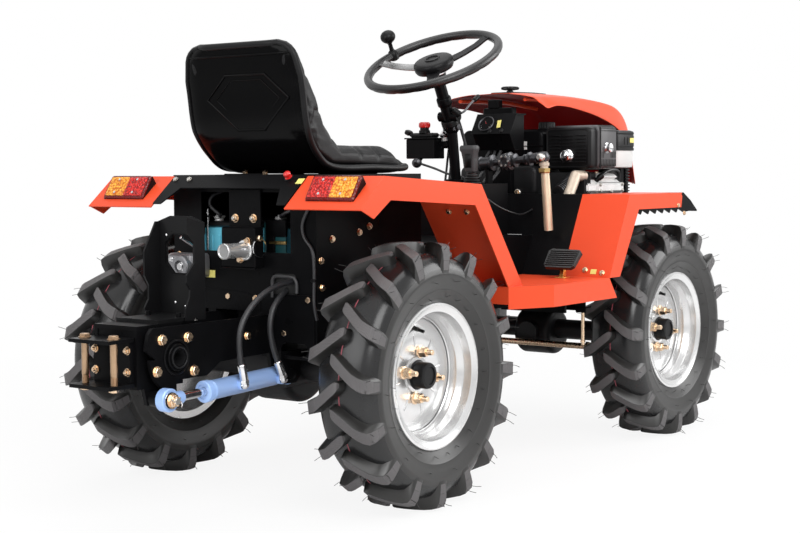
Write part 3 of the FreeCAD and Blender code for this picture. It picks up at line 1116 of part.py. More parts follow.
def make_lift_valve():
    """Valve box on the rear panel, with the round coupling that stands out behind it."""
    x0 = BODY_REAR - 34
    body = box(x0, BODY_REAR, -68, 39, 556, 653)
    bracket = box(BODY_REAR - 5, BODY_REAR, -62, 36, 650, WINDOW_TOP + 8)
    tip, seat = (SOCKET_TIP, SOCKET_Y, SOCKET_Z), (x0 + 2, SOCKET_Y, SOCKET_Z)
    socket = rod(tip, seat, SOCKET_RADIUS)
    ring = rod((x0 - 8, SOCKET_Y, SOCKET_Z), seat, SOCKET_RADIUS + 9)
    cap = rod(tip, (SOCKET_TIP + 8, SOCKET_Y, SOCKET_Z), SOCKET_RADIUS + 1.5)
    return fused(body, bracket, socket, ring, cap)


def make_front_bumper():
    face = box(BUMPER_FRONT - BUMPER_THICKNESS, BUMPER_FRONT, -BUMPER_HALF_WIDTH, BUMPER_HALF_WIDTH,
               BUMPER_BOTTOM, BUMPER_BOTTOM + BUMPER_HEIGHT)
    face = rounded(face, 18.0, lambda e: is_straight_along(e, V(1, 0, 0)))
    parts = []
    for side in (1, -1):
        y0, y1 = sorted((side * RAIL_INNER, side * (RAIL_INNER + 8)))
        parts.append(box(RAIL_FRONT + 10, BUMPER_FRONT - BUMPER_THICKNESS + 1, y0, y1, BUMPER_BOTTOM + 10,
                         RAIL_TOP - 4))
    return fused(face, *parts)


# ---- output ------------------------------------------------------------------
def save(name, shape):
    shape = shape.translated(V(-FOOTPRINT_MIDDLE, 0, 0))
    shape.exportStep("parts/" + name + ".step")
    print("%-22s solids %d volume %.0f cm3 valid %s" % (name, len(shape.Solids), shape.Volume / 1000.0,
                                                        shape.isValid()))


os.makedirs("parts", exist_ok=True)
for end_name, wheel_x in (("rear", 0.0), ("front", WHEELBASE)):
    for side_name, side_sign in (("left", 1), ("right", -1)):
        save("%s_%s_tyre" % (end_name, side_name), make_tyre(side_sign, wheel_x))
        save("%s_%s_rim" % (end_name, side_name), make_rim(side_sign, wheel_x))
save("main_frame", make_main_frame())
save("gearbox", make_gearbox())
save("front_axle", make_front_axle())
save("left_knuckle", make_knuckle(1))
save("right_knuckle", make_knuckle(-1))
save("tie_rod", make_tie_rod())
save("seat_box", make_seat_box())
save("battery", make_battery())
save("cross_bar", make_cross_bar())
save("rear_fenders", Part.makeCompound([make_fender(1), make_fender(-1)]))
save("tail_lamps", Part.makeCompound([make_tail_lamp(1), make_tail_lamp(-1)]))
save("footboards", Part.makeCompound([make_footboard(1), make_footboard(-1)]))
save("front_mudguards", Part.makeCompound([make_mudguard(1), make_mudguard(-1)]))
save("toothed_guards", Part.makeCompound([make_toothed_guard(1), make_toothed_guard(-1)]))
save("bulkhead", make_bulkhead())
save("console", make_console())
save("engine_deck", make_engine_deck())
save("engine", make_engine())
save("air_box", make_air_box())
save("cooling_cover", make_cooling_cover())
save("oil_canister", make_canister())
save("fuel_tank", make_fuel_tank())
save("exhaust_pipe", make_exhaust_pipe())
save("silencer", make_silencer())
save("tail_pipe", make_tail_pipe())
save("seat_pan", make_seat_pan())
save("seat_cushion", make_seat_cushion())
save("steering_wheel", make_steering_wheel())
save("steering_column", make_column())
save("instrument_box", make_instrument_box())
save("control_box", make_control_box())
save("gear_lever", make_gear_lever())
save("brake_pedal", make_brake_pedal())
save("hood", make_hood())
save("head_lamps", make_head_lamps())
save("hitch_bracket", make_hitch_bracket())
save("coupler", make_coupler())
save("coupler_tower", make_coupler_tower())
save("coupler_pins", make_coupler_pins())
save("cylinder_barrel", make_cylinder_barrel())
save("cylinder_rod", make_cylinder_rod())
save("rear_hose", make_hose(REAR_HOSE))
save("front_hose", make_hose(FRONT_HOSE))
save("lift_valve", make_lift_valve())
save("front_bumper", make_front_bumper())
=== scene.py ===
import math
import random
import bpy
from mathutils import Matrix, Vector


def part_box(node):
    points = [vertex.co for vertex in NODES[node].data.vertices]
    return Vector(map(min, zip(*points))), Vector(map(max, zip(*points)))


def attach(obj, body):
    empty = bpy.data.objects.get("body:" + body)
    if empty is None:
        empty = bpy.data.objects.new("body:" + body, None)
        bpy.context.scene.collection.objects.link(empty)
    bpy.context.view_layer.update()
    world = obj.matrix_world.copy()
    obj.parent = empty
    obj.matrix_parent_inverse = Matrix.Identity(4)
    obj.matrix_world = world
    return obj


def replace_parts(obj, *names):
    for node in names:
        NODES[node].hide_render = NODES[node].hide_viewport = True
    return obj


bl_info = {
    "name": "Garden Tractor",
    "version": (1, 0, 0),
    "blender": (4, 5, 0),
    "location": "3D View > Sidebar > Tractor",
    "description": "Builds the visible pieces of a garden tractor round its packed frame",
    "category": "Object",
}

import bmesh
import bpy
from mathutils import Matrix, Vector

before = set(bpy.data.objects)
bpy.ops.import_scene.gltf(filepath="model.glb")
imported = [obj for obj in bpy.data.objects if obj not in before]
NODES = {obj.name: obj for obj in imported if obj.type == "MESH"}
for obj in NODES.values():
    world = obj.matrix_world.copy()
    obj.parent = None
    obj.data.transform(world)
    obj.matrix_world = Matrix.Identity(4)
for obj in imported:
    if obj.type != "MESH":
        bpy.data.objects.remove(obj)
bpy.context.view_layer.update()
MM = 0.001


# ---- places from the frame
def corners(node):
    """Lowest and highest corner of a CAD node, in metres."""
    low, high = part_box(node)
    return Vector(low), Vector(high)


def middle(node):
    """Middle of the box round a CAD node, in metres."""
    low, high = corners(node)
    return (low + high) / 2


REAR_AXLE = middle("rear_right_rim")
UP, AHEAD, BACK = Vector((0, 0, 1)), Vector((1, 0, 0)), Vector((-1, 0, 0))
LEFT, RIGHT = Vector((0, 1, 0)), Vector((0, -1, 0))


def at(x, y, z):
    """A place in millimetres: X from the rear axle, Y from the middle, Z from the ground."""
    return Vector((REAR_AXLE.x + x * MM, y * MM, z * MM))


def wheel_names():
    """The four wheels, as (end, side)."""
    for end in ("rear", "front"):
        for side in ("left", "right"):
            yield end, side


# ---- making meshes
class Shape:
    """Gathers the faces of one piece. Lengths are in millimetres and become metres here."""

    def __init__(self):
        self.mesh = bmesh.new()
        self.materials = []

    def slot(self, material):
        if material not in self.materials:
            self.materials.append(material)
        return self.materials.index(material)

    def vertices(self, points):
        return [self.mesh.verts.new(point) for point in points]

    def face(self, spots, material):
        try:
            made = self.mesh.faces.new(spots)
        except ValueError:
            return None
        made.material_index = self.slot(material)
        return made

    def bridge(self, ring_a, ring_b, material, closed=True):
        count = len(ring_a)
        for i in range(count if closed else count - 1):
            j = (i + 1) % count
            self.face((ring_a[i], ring_a[j], ring_b[j], ring_b[i]), material)

    def loft(self, rings, material, caps=True, closed=True, joined=False):
        """Skin over rings of points, which are lists of the same length."""
        made = [self.vertices(ring) for ring in rings]
        for a, b in zip(made, made[1:]):
            self.bridge(a, b, material, closed)
        if joined:
            self.bridge(made[-1], made[0], material, closed)
        if caps and not joined:
            self.face(made[0][::-1], material)
            self.face(made[-1], material)
        return made

    def lathe(self, profile, centre, axis, material, steps=48, caps=False):
        """Turns a profile of (radius, distance along the axis) about an axis through centre."""
        axis = Vector(axis).normalized()
        side = axis.orthogonal().normalized()
        other = axis.cross(side)
        rings = []
        for radius, along in profile:
            spokes = [side * c + other * s for c, s in round_circle(steps)]
            rings.append([centre + axis * along * MM + spoke * max(radius, 0.01) * MM for spoke in spokes])
        return self.loft(rings, material, caps)

    def rod(self, start, end, radius, material, steps=16, bevel=0.0):
        length = (end - start).length / MM
        if bevel:
            profile = [(radius - bevel, 0), (radius, bevel), (radius, length - bevel),
                       (radius - bevel, length)]
        else:
            profile = [(radius, 0), (radius, length)]
        self.lathe(profile, start, end - start, material, steps, True)

    def box(self, low, high, material, bevel=1.0, turn=None):
        """A box between two corners, with small bevels, turned about its middle if asked."""
        low, high = Vector(low), Vector(high)
        size, centre = high - low, (low + high) / 2
        cut = min(bevel * MM, min(size) * 0.45)
        half = size / 2
        rings = []
        for z, inset in ((-half.z, cut), (-half.z + cut, 0), (half.z - cut, 0), (half.z, cut)):
            x, y = half.x - inset, half.y - inset
            corner = cut if inset == 0 else cut * 0.6
            ring = [(x - corner, -y), (x, -y + corner), (x, y - corner), (x - corner, y), (-x + corner, y),
                    (-x, y - corner), (-x, -y + corner), (-x + corner, -y)]
            points = [Vector((a, b, z)) for a, b in ring]
            if turn:
                points = [turn @ point for point in points]
            rings.append([centre + point for point in points])
        self.loft(rings, material)

    def boxes(self, material, bevel, *rows):
        """Boxes of one material, each from six numbers: its low and its high corner in millimetres."""
        for row in rows:
            self.box(at(*row[:3]), at(*row[3:]), material, bevel)

    def hexagon(self, start, axis, across, height, material, spin=0.0):
        """A hexagonal head or nut with a chamfered top."""
        axis = Vector(axis).normalized()
        side = axis.orthogonal().normalized()
        side = Matrix.Rotation(spin, 3, axis) @ side
        other = axis.cross(side)
        radius = across / math.sqrt(3)
        rings = []
        for along, share in ((0, 1.0), (height * 0.82, 1.0), (height, 0.86)):
            spokes = [side * c + other * s for c, s in round_circle(6)]
            rings.append([start + axis * along * MM + spoke * radius * share * MM for spoke in spokes])
        self.loft(rings, material)

    def bolt(self, place, axis, size, head, thread=None, washer=True):
        """A washer, a hexagonal head and, if it is a nut, the end of its thread."""
        axis = Vector(axis).normalized()
        lift = 0.0
        if washer:
            self.lathe([(size * 1.15, 0), (size * 1.15, size * 0.16), (size * 0.5, size * 0.16)], place,
                       axis, head, 20)
            lift = size * 0.16
        self.hexagon(place + axis * lift * MM, axis, size * 1.7, size * 0.65, head, 0.3)
        if thread:
            top = place + axis * (lift + size * 0.6) * MM
            self.rod(top, top + axis * size * 0.6 * MM, size * 0.48, thread, 12, size * 0.1)

    def tube(self, points, radius, material, steps=10, caps=True):
        """A round bar through points, with its section kept square to the path."""
        rings, side = [], None
        for i, point in enumerate(points):
            before = points[max(i - 1, 0)]
            after = points[min(i + 1, len(points) - 1)]
            along = (after - before).normalized()
            if side is None:
                side = along.orthogonal().normalized()
            side = (side - along * side.dot(along)).normalized()
            other = along.cross(side)
            rings.append([point + (side * c + other * s) * radius * MM for c, s in round_circle(steps)])
        self.loft(rings, material, caps)

    def plate(self, outline, thickness, material):
        """A flat plate: outline points in metres, thickness as a vector in metres."""
        self.loft([list(outline), [point + thickness for point in outline]], material)

    def finish(self, name, body, angle=38.0, bevel=0.0):
        bmesh.ops.recalc_face_normals(self.mesh, faces=self.mesh.faces)
        data = bpy.data.meshes.new(name)
        self.mesh.to_mesh(data)
        self.mesh.free()
        for material in self.materials:
            data.materials.append(MATERIALS[material])
        shade_smooth(data)
        data.set_sharp_from_angle(angle=math.radians(angle))
        piece = bpy.data.objects.new(name, data)
        bpy.context.scene.collection.objects.link(piece)
        if bevel:
            add_bevel(piece, bevel)
        if body:
            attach(piece, body)
        return piece


def shade_smooth(data):
    data.polygons.foreach_set("use_smooth", [True] * len(data.polygons))


def add_bevel(piece, width):
    """Rounds the sharp edges of a piece; the width is in millimetres."""
    modifier = piece.modifiers.new("Bevel", "BEVEL")
    modifier.width = width * MM
    modifier.segments = 2
    modifier.limit_method = "ANGLE"
    modifier.angle_limit = math.radians(40)
    modifier.harden_normals = False


def smooth_path(points, count):
    """Points along a Catmull-Rom curve through the given ones."""
    result = []
    for i in range(len(points) - 1):
        a = points[max(i - 1, 0)]
        b, c = points[i], points[i + 1]
        d = points[min(i + 2, len(points) - 1)]
        for k in range(count):
            t = k / count
            result.append(0.5 * ((2 * b) + (c - a) * t + (2 * a - 5 * b + 4 * c - d) * t ** 2
                                 + (3 * b - a - 3 * c + d) * t ** 3))
    result.append(points[-1].copy())
    return result


def rounded_rectangle(a0, a1, b0, b1, corner, steps=6):
    """Pairs round a rectangle with rounded corners, each corner in so many steps."""
    pairs = []
    for ca, cb, start in ((a1 - corner, b1 - corner, 0), (a0 + corner, b1 - corner, 90),
                          (a0 + corner, b0 + corner, 180), (a1 - corner, b0 + corner, 270)):
        for k in range(steps):
            turn = math.radians(start + 90 * k / (steps - 1))
            pairs.append((ca + corner * math.cos(turn), cb + corner * math.sin(turn)))
    return pairs


def round_circle(count, first=0.0):
    """Cosine and sine at even steps of a whole turn."""
    return [(math.cos(first + 2 * math.pi * k / count), math.sin(first + 2 * math.pi * k / count))
            for k in range(count)]


def squared(value, power):
    """A cosine or sine pulled towards its ends, which turns a circle into a rounded square."""
    return math.copysign(abs(value) ** power, value)


# ---- materials
MATERIALS = {}


def add_node(tree, kind, operation=None, **values):
    """A shader node with the values of its inputs, whose names are written with _ for a space."""
    node = tree.nodes.new("ShaderNode" + kind)
    if operation:
        node.operation = operation
    for name, value in values.items():
        node.inputs[name.replace("_", " ")].default_value = value
    return node


def connect(tree, *pairs):
    for source, target in pairs:
        tree.links.new(source, target)


def surface_group():
    """Shared effect: colour, roughness and normal broken up by noise at two sizes."""
    group = bpy.data.node_groups.new("Uneven Surface", "ShaderNodeTree")
    face = group.interface
    for name, kind, value in (("Colour", "NodeSocketColor", (0.5, 0.5, 0.5, 1)),
                              ("Variation", "NodeSocketFloat", 0.1), ("Roughness", "NodeSocketFloat", 0.5),
                              ("Patches", "NodeSocketFloat", 0.1), ("Size", "NodeSocketFloat", 60.0),
                              ("Grain", "NodeSocketFloat", 800.0), ("Bump", "NodeSocketFloat", 0.1),
                              ("Dust", "NodeSocketFloat", 0.0)):
        face.new_socket(name, in_out="INPUT", socket_type=kind).default_value = value
    for name, kind in (("Colour", "NodeSocketColor"), ("Roughness", "NodeSocketFloat"),
                       ("Normal", "NodeSocketVector")):
        face.new_socket(name, in_out="OUTPUT", socket_type=kind)
    given, out = group.nodes.new("NodeGroupInput").outputs, group.nodes.new("NodeGroupOutput").inputs
    place = add_node(group, "TexCoord").outputs["Object"]
    broad, fine = add_node(group, "TexNoise", Detail=5.0), add_node(group, "TexNoise", Detail=2.0)
    connect(group, (place, broad.inputs["Vector"]), (given["Size"], broad.inputs["Scale"]),
            (place, fine.inputs["Vector"]), (given["Grain"], fine.inputs["Scale"]))

    def maths(kind, a, b):
        node = add_node(group, "Math", kind)
        for socket, value in zip(node.inputs, (a, b)):
            if hasattr(value, "links"):
                connect(group, (value, socket))
            else:
                socket.default_value = value
        return node.outputs[0]

    offset = maths("SUBTRACT", broad.outputs["Fac"], 0.5)
    shade = maths("ADD", maths("MULTIPLY", offset, given["Variation"]), 1.0)
    tint = add_node(group, "VectorMath", "SCALE")
    parts = add_node(group, "SeparateXYZ")
    connect(group, (given["Colour"], tint.inputs[0]), (shade, tint.inputs["Scale"]),
            (add_node(group, "NewGeometry").outputs["Normal"], parts.inputs[0]))
    upward = maths("MAXIMUM", parts.outputs["Z"], 0.0)
    dusty = maths("MULTIPLY", maths("MULTIPLY", upward, broad.outputs["Fac"]), given["Dust"])
    mix = group.nodes.new("ShaderNodeMix")
    mix.data_type = "RGBA"
    mix.inputs["B"].default_value = (0.45, 0.42, 0.38, 1)
    rough = maths("ADD", maths("MULTIPLY", offset, given["Patches"]), given["Roughness"])
    bump = add_node(group, "Bump", Distance=0.001)
    connect(group, (dusty, mix.inputs["Factor"]), (tint.outputs[0], mix.inputs["A"]),
            (mix.outputs["Result"], out["Colour"]), (rough, out["Roughness"]),
            (given["Bump"], bump.inputs["Strength"]), (fine.outputs["Fac"], bump.inputs["Height"]),
            (bump.outputs["Normal"], out["Normal"]))


def new_material(name):
    """An empty material, kept under its name. Returns its tree and its shader."""
    material = bpy.data.materials.new(name)
    material.use_nodes = True
    MATERIALS[name] = material
    tree = material.node_tree
    shader = next(node for node in tree.nodes if node.type == "BSDF_PRINCIPLED")
    return tree, shader


def surface(name, colour, roughness, metallic=0.0, variation=0.15, patches=0.15, size=25.0, grain=900.0,
            bump=0.08, coat=0.0, dust=0.0, specular=0.5):
    """A material on the shared uneven surface. Returns its tree and the two nodes that others build on."""
    tree, shader = new_material(name)
    group = tree.nodes.new("ShaderNodeGroup")
    group.node_tree = bpy.data.node_groups["Uneven Surface"]
    values = {"Colour": (*colour, 1), "Variation": variation, "Roughness": roughness, "Patches": patches,
              "Size": size, "Grain": grain, "Bump": bump, "Dust": dust}
    for key, value in values.items():
        group.inputs[key].default_value = value
    connect(tree, (group.outputs["Colour"], shader.inputs["Base Color"]),
            (group.outputs["Roughness"], shader.inputs["Roughness"]),
            (group.outputs["Normal"], shader.inputs["Normal"]))
    for key, value in (("Metallic", metallic), ("Coat Weight", coat), ("Coat Roughness", 0.12),
                       ("Specular IOR Level", specular)):
        shader.inputs[key].default_value = value
    return tree, shader, group


def add_weave(tree, shader, group, scale, strength):
    """A fine square mesh pressed into the surface, over the group's own grain."""
    place = add_node(tree, "TexCoord")
    total = None
    for direction in ("X", "Y", "Z"):
        wave = add_node(tree, "TexWave", Scale=scale)
        wave.bands_direction = direction
        connect(tree, (place.outputs["Object"], wave.inputs["Vector"]))
        if total is None:
            total = wave.outputs["Fac"]
            continue
        add = add_node(tree, "Math")
        connect(tree, (total, add.inputs[0]), (wave.outputs["Fac"], add.inputs[1]))
        total = add.outputs[0]
    bump = add_node(tree, "Bump", Strength=strength, Distance=0.0005)
    connect(tree, (total, bump.inputs["Height"]), (group.outputs["Normal"], bump.inputs["Normal"]),
            (bump.outputs["Normal"], shader.inputs["Normal"]))


def clear_plastic(name, colour, roughness=0.12, see_through=0.35, deep=None):
    """Moulded clear plastic with small cells; if a darker colour is given, each cell is painted lighter in
    its middle and darker at its edge, a painted highlight and painted shade for the light its facet
    catches.
    """
    tree, shader = new_material(name)
    place, cells = add_node(tree, "TexCoord"), add_node(tree, "TexVoronoi", Scale=170.0)
    bump = add_node(tree, "Bump", Strength=0.8, Distance=0.002)
    connect(tree, (place.outputs["Object"], cells.inputs["Vector"]),
            (cells.outputs["Distance"], bump.inputs["Height"]),
            (bump.outputs["Normal"], shader.inputs["Normal"]))
    # The darker colour at the cell edges is painted shade and the lighter middles a painted highlight.
    if deep:
        ramp = tree.nodes.new("ShaderNodeValToRGB")
        for stop, shade, position in zip(ramp.color_ramp.elements, (colour, deep), (0.15, 0.75)):
            stop.color = (*shade, 1)
            stop.position = position
        connect(tree, (cells.outputs["Distance"], ramp.inputs["Fac"]),
                (ramp.outputs["Color"], shader.inputs["Base Color"]))
    else:
        shader.inputs["Base Color"].default_value = (*colour, 1)
    for key, value in (("Roughness", roughness), ("Transmission Weight", see_through),
                       ("Specular IOR Level", 0.35)):
        shader.inputs[key].default_value = value


def make_materials(look):
    surface_group()
    surface("red_paint", tuple(look.body_colour), 0.4, variation=0.05, patches=0.1, size=8.0, grain=1500.0,
            bump=0.02, coat=0.04, specular=0.18)
    # A darker copy of the red paint for the hood's inner face: painted shade for the shadow under the hood.
    surface("red_paint_painted_shade", (0.3, 0.006, 0.006), 0.5, variation=0.1, size=8.0, specular=0.1)
    surface("black_paint", tuple(look.frame_colour), 0.3, variation=0.4, patches=0.15, size=18.0,
            grain=1200.0, bump=0.05, specular=0.06)
    surface("satin_black", (0.007, 0.007, 0.0075), 0.3, variation=0.3, patches=0.15, size=18.0,
            grain=1200.0, bump=0.05, specular=0.14)
    surface("steel", (0.5, 0.48, 0.45), 0.34, 1.0, 0.3, 0.3, 60.0, 900.0, 0.1)
    surface("gold_zinc", (0.78, 0.58, 0.4), 0.28, 1.0, 0.35, 0.3, 120.0, 1500.0, 0.1)
    surface("bright_steel", (0.68, 0.68, 0.69), 0.2, 1.0, 0.1, 0.15, 60.0, 900.0, 0.03)
    surface("dark_steel", (0.06, 0.06, 0.065), 0.32, 0.8, 0.3, 0.25, 60.0, 900.0, 0.12)
    surface("cast_metal", (0.012, 0.012, 0.013), 0.42, 0.1, 0.4, 0.2, 30.0, 500.0, 0.3, specular=0.2)
    surface("cast_grey", (0.2, 0.2, 0.21), 0.38, 0.6, 0.4, 0.2, 30.0, 500.0, 0.3)
    surface("spoke_grey", (0.3, 0.3, 0.3), 0.34, 0.9, 0.15, 0.15, 40.0, 900.0, 0.08)
    surface("satin_alloy", (0.72, 0.72, 0.72), 0.24, 0.7, 0.1, 0.1, 60.0, 900.0, 0.03)
    # Dark teal for a plate over the battery's right part: painted shade.
    surface("battery_teal_painted_shade", (0.006, 0.07, 0.08), 0.5, variation=0.2)
    surface("alloy", (0.78, 0.78, 0.77), 0.42, 0.3, 0.3, 0.3, 40.0, 600.0, 0.35)
    surface("rim_silver", (0.62, 0.62, 0.62), 0.24, 0.75, 0.12, 0.2, 20.0, 700.0, 0.05, coat=0.1)
    # Lug tops: woven rubber with a little dust, painted much lighter than the flanks as painted light on
    # the tops.
    tree, shader, group = surface("tyre_rubber", (0.075, 0.07, 0.072), 0.4, variation=0.35, patches=0.25,
                                  size=14.0, grain=420.0, bump=0.12, dust=0.05)
    add_weave(tree, shader, group, 130.0, 0.7)
    surface("smooth_rubber", (0.009, 0.009, 0.0095), 0.24, variation=0.3, patches=0.3, size=9.0,
            grain=500.0, bump=0.1, specular=0.42)
    surface("side_rubber", (0.012, 0.0115, 0.011), 0.36, variation=0.3, patches=0.2, size=12.0, grain=500.0,
            bump=0.1)
    surface("tread_stripe", (0.28, 0.06, 0.08), 0.6, variation=0.6, size=90.0)
    surface("seat_vinyl", (0.006, 0.006, 0.0065), 0.36, variation=0.2, patches=0.15, size=30.0, grain=950.0,
            bump=0.25, specular=0.16)
    surface("seat_plastic", (0.002, 0.002, 0.0022), 0.16, variation=0.2, patches=0.08, size=12.0,
            grain=1100.0, bump=0.03, specular=0.07)
    surface("black_plastic", (0.006, 0.006, 0.0065), 0.34, variation=0.3, patches=0.2, size=25.0,
            grain=900.0, bump=0.12, specular=0.15)
    surface("soft_black", (0.007, 0.007, 0.0075), 0.36, variation=0.25, patches=0.15, size=30.0,
            grain=600.0, bump=0.2)
    surface("grey_rubber", (0.03, 0.03, 0.032), 0.5, variation=0.2, size=30.0, grain=700.0, bump=0.15)
    surface("grey_plastic", (0.05, 0.05, 0.053), 0.42, variation=0.15, size=25.0, grain=900.0, bump=0.12)
    surface("pale_plastic", (0.66, 0.66, 0.65), 0.45, variation=0.08, size=25.0, grain=900.0, bump=0.08)
    surface("battery_case", (0.15, 0.57, 0.74), 0.35, variation=0.1, size=25.0, grain=900.0, bump=0.08)
    surface("yellow_label", (0.82, 0.72, 0.2), 0.4, variation=0.05, size=40.0)
    surface("red_plastic", (0.6, 0.012, 0.01), 0.3, variation=0.1, size=40.0, coat=0.3)
    surface("pin_brown", (0.4, 0.27, 0.17), 0.36, 1.0, 0.4, 0.2, 80.0, 900.0, 0.1)
    surface("brass", (0.65, 0.45, 0.18), 0.3, 1.0, 0.2, 0.2, 80.0, 900.0, 0.1)
    surface("pedal_gold", (0.7, 0.42, 0.12), 0.34, 1.0, 0.3, 0.2, 60.0, 900.0, 0.1)
    surface("blue_paint", tuple(look.cylinder_colour), 0.32, 0.1, 0.1, 0.12, 20.0, 900.0, 0.04, coat=0.25)
    surface("chrome", (0.84, 0.84, 0.85), 0.16, 1.0, 0.05, 0.05, 30.0, 900.0, 0.01)
    surface("hose_rubber", (0.016, 0.016, 0.018), 0.42, variation=0.2, size=40.0, grain=1500.0, bump=0.3)
    surface("heat_steel", (0.72, 0.62, 0.45), 0.4, 0.6, 0.3, 0.2, 45.0, 700.0, 0.1)
    surface("burnt_steel", (0.5, 0.42, 0.34), 0.5, 0.5, 0.4, 0.25, 60.0, 700.0, 0.15)
    # Near black: the gauge dial's own colour, and painted shade for the insides of vents, holes and
    # openings.
    surface("dial_black_and_hole_shade", (0.003, 0.003, 0.003), 0.6, variation=0.2)
    # Tail lamp lenses: painted highlights in the cell middles and painted shade at the cell edges.
    clear_plastic("red_lens", (0.8, 0.03, 0.02), 0.15, 0.0, (0.2, 0.002, 0.002))
    clear_plastic("amber_lens", (1.0, 0.5, 0.06), 0.15, 0.0, (0.5, 0.12, 0.002))
    clear_plastic("lamp_surround", (0.12, 0.003, 0.003), 0.15, 0.0)
    clear_plastic("clear_lens", (0.9, 0.9, 0.9), 0.06, 0.85)


def paint_node(node, material, bevel=0.0):
    """Gives a CAD node its material, and small rounded edges."""
    piece = NODES[node]
    data = piece.data
    data.materials.clear()
    data.materials.append(MATERIALS[material])
    shade_smooth(data)
    data.set_sharp_from_angle(angle=math.radians(32))
    if bevel:
        add_bevel(piece, bevel)
    return piece


# ---- wheels
def around(centre, radius, angle, y):
    """A point on a wheel: radius and y in millimetres, angle from the front over the top."""
    return centre + Vector((radius * math.cos(angle), y, radius * math.sin(angle))) * MM


CARCASS = ((154, 54), (160, 56), (171, 57), (178, 62), (190, 69), (198, 72.5), (201, 74.5), (205, 74.5),
           (214, 78), (232, 81), (236, 82), (240, 81.5), (250, 79.5), (262, 75), (274, 66), (280, 53),
           (284, 32), (286, 8))
LUG_STATIONS = (
    # base radius, base y, top radius, top y, angle in degrees, half width
    (283, -17, 302, -13.5, -2.0, 5), (283, -13.5, 307.5, -11.5, -1.7, 9.5),
    (283, -8.5, 309.4, -7.5, -1.2, 12.8), (283, 0, 309.9, 0, -0.3, 14.8), (283, 14, 309.8, 14, 1.6, 15),
    (281.5, 32, 309.4, 32, 4.2, 15), (279, 50, 308.4, 50, 6.6, 15), (273, 62, 306, 66, 8.1, 15.5),
    (263, 72, 301, 78, 8.9, 16), (253, 77, 288, 82.5, 9.3, 15), (242, 79, 269, 83.5, 9.5, 13),
    (230, 80, 248, 83, 9.6, 10.5),
)


def lug(shape, centre, start, side):
    """One curved lug with dark flanks and a woven top; the top's rubber is painted lighter to stand for the
    light falling on it.
    """
    rings = []
    for base_r, base_y, top_r, top_y, turn, half in LUG_STATIONS:
        angle = start + math.radians(turn)
        foot, head = (half + 4) / base_r, half / top_r
        mid_r, mid_y = base_r * 0.06 + top_r * 0.94, base_y * 0.06 + top_y * 0.94
        rings.append([around(centre, base_r, angle - foot, side * base_y),
                      around(centre, mid_r, angle - head, side * mid_y),
                      around(centre, top_r, angle - head * 0.92, side * top_y),
                      around(centre, top_r, angle + head * 0.92, side * top_y),
                      around(centre, mid_r, angle + head, side * mid_y),
                      around(centre, base_r, angle + foot, side * base_y)])
    shape.loft(rings, "side_rubber")
    caps = []
    for base_r, base_y, top_r, top_y, turn, half in LUG_STATIONS:
        angle, head = start + math.radians(turn), half / top_r * 0.9
        caps.append([around(centre, r, angle + a, side * top_y)
                     for r, a in ((top_r - 1, -head), (top_r + 0.1, -head), (top_r + 0.1, head),
                                  (top_r - 1, head))])
    # Top faces take the lighter rubber: painted light on the lug tops.
    shape.loft(caps, "tyre_rubber")


def hair(shape, root, direction, length, chance):
    """A thin moulding whisker, a little bent."""
    if root.z < 0.012:
        return
    sideways = direction.orthogonal().normalized() * chance.uniform(-0.35, 0.35)
    points = [root + (direction * t + sideways * t * t) * length * MM for t in (0, 0.5, 1)]
    if min(point.z for point in points) > 0.002:
        shape.tube(points, 0.75, "side_rubber", 4)


def make_tyre(name, centre, body, lugs, chance, hairs=True):
    """Carcass, two rows of lugs half a pitch apart, whiskers and the joint line."""
    shape = Shape()
    steps, wall_top = 128, 248
    profile = [(r, -y) for r, y in CARCASS] + [(r, y) for r, y in CARCASS[::-1]]
    rings = [[around(centre, r, 2 * math.pi * i / steps, y) for i in range(steps)] for r, y in profile]
    made = [shape.vertices(ring) for ring in rings]
    for k, (a, b) in enumerate(zip(made, made[1:])):
        outer = min(profile[k][0], profile[k + 1][0])
        shape.bridge(a, b, "side_rubber" if outer < wall_top else "smooth_rubber")
    shape.bridge(made[-1], made[0], "side_rubber")
    pitch = 2 * math.pi / lugs
    for i in range(lugs):
        for side, shift in ((1, 0.0), (-1, 0.5)):
            start = (i + shift) * pitch
            lug(shape, centre, start, side)
            if not hairs:
                continue
            for spread in (-0.035, 0.03):
                angle = start + math.radians(9) + spread
                root = around(centre, 292, angle, side * 80)
                outward = Vector((math.cos(angle) * 0.5, side * 0.8, math.sin(angle) * 0.5))
                out = (outward + chance_vector(chance, 0.25)).normalized()
                hair(shape, root, out, chance.uniform(14, 26), chance)
    for ring_radius, count in ((184, 22), (222, 14)):
        for i in range(count):
            for side in (1, -1):
                angle = 2 * math.pi * (i + chance.uniform(-0.2, 0.2)) / count
                y = 66 if ring_radius < 200 else 80
                out = (Vector((0, side, 0)) + chance_vector(chance, 0.4)).normalized()
                hair(shape, around(centre, ring_radius, angle, side * y), out, chance.uniform(8, 15),
                     chance)
    stripe = [[around(centre, 286.4, 2 * math.pi * i / steps, y) for i in range(steps)]
              for y in (-1.5, 1.5)]
    shape.loft(stripe, "tread_stripe", caps=False)
    return shape.finish(name, body, 30)


def chance_vector(chance, size):
    """A small vector in a random direction."""
    return Vector([chance.uniform(-size, size) for _ in range(3)])


RIM = ((152, -61), (170, -61), (171.5, -58), (168, -56), (153, -55), (152, -34), (141, -22), (141, 22),
       (152, 34), (153, 55), (168, 56), (171.5, 58), (170, 61.5), (165, 62), (158, 58), (150, 56),
       (147.5, 38), (145, 33), (137, 24), (135.5, 20), (135.5, 4), (133.6, 1.5), (133.6, -7), (131.5, -7),
       (131, 0), (128, 2), (112, 3), (98, 6), (80, 7), (60, 4), (44, 3), (43, 6), (36, 7), (0, 7))
INNER_RIM = ((152, -61), (147, -58), (146, -36), (136, -22), (135, -8), (60, -8), (48, -12), (46, -52),
             (22, -52))


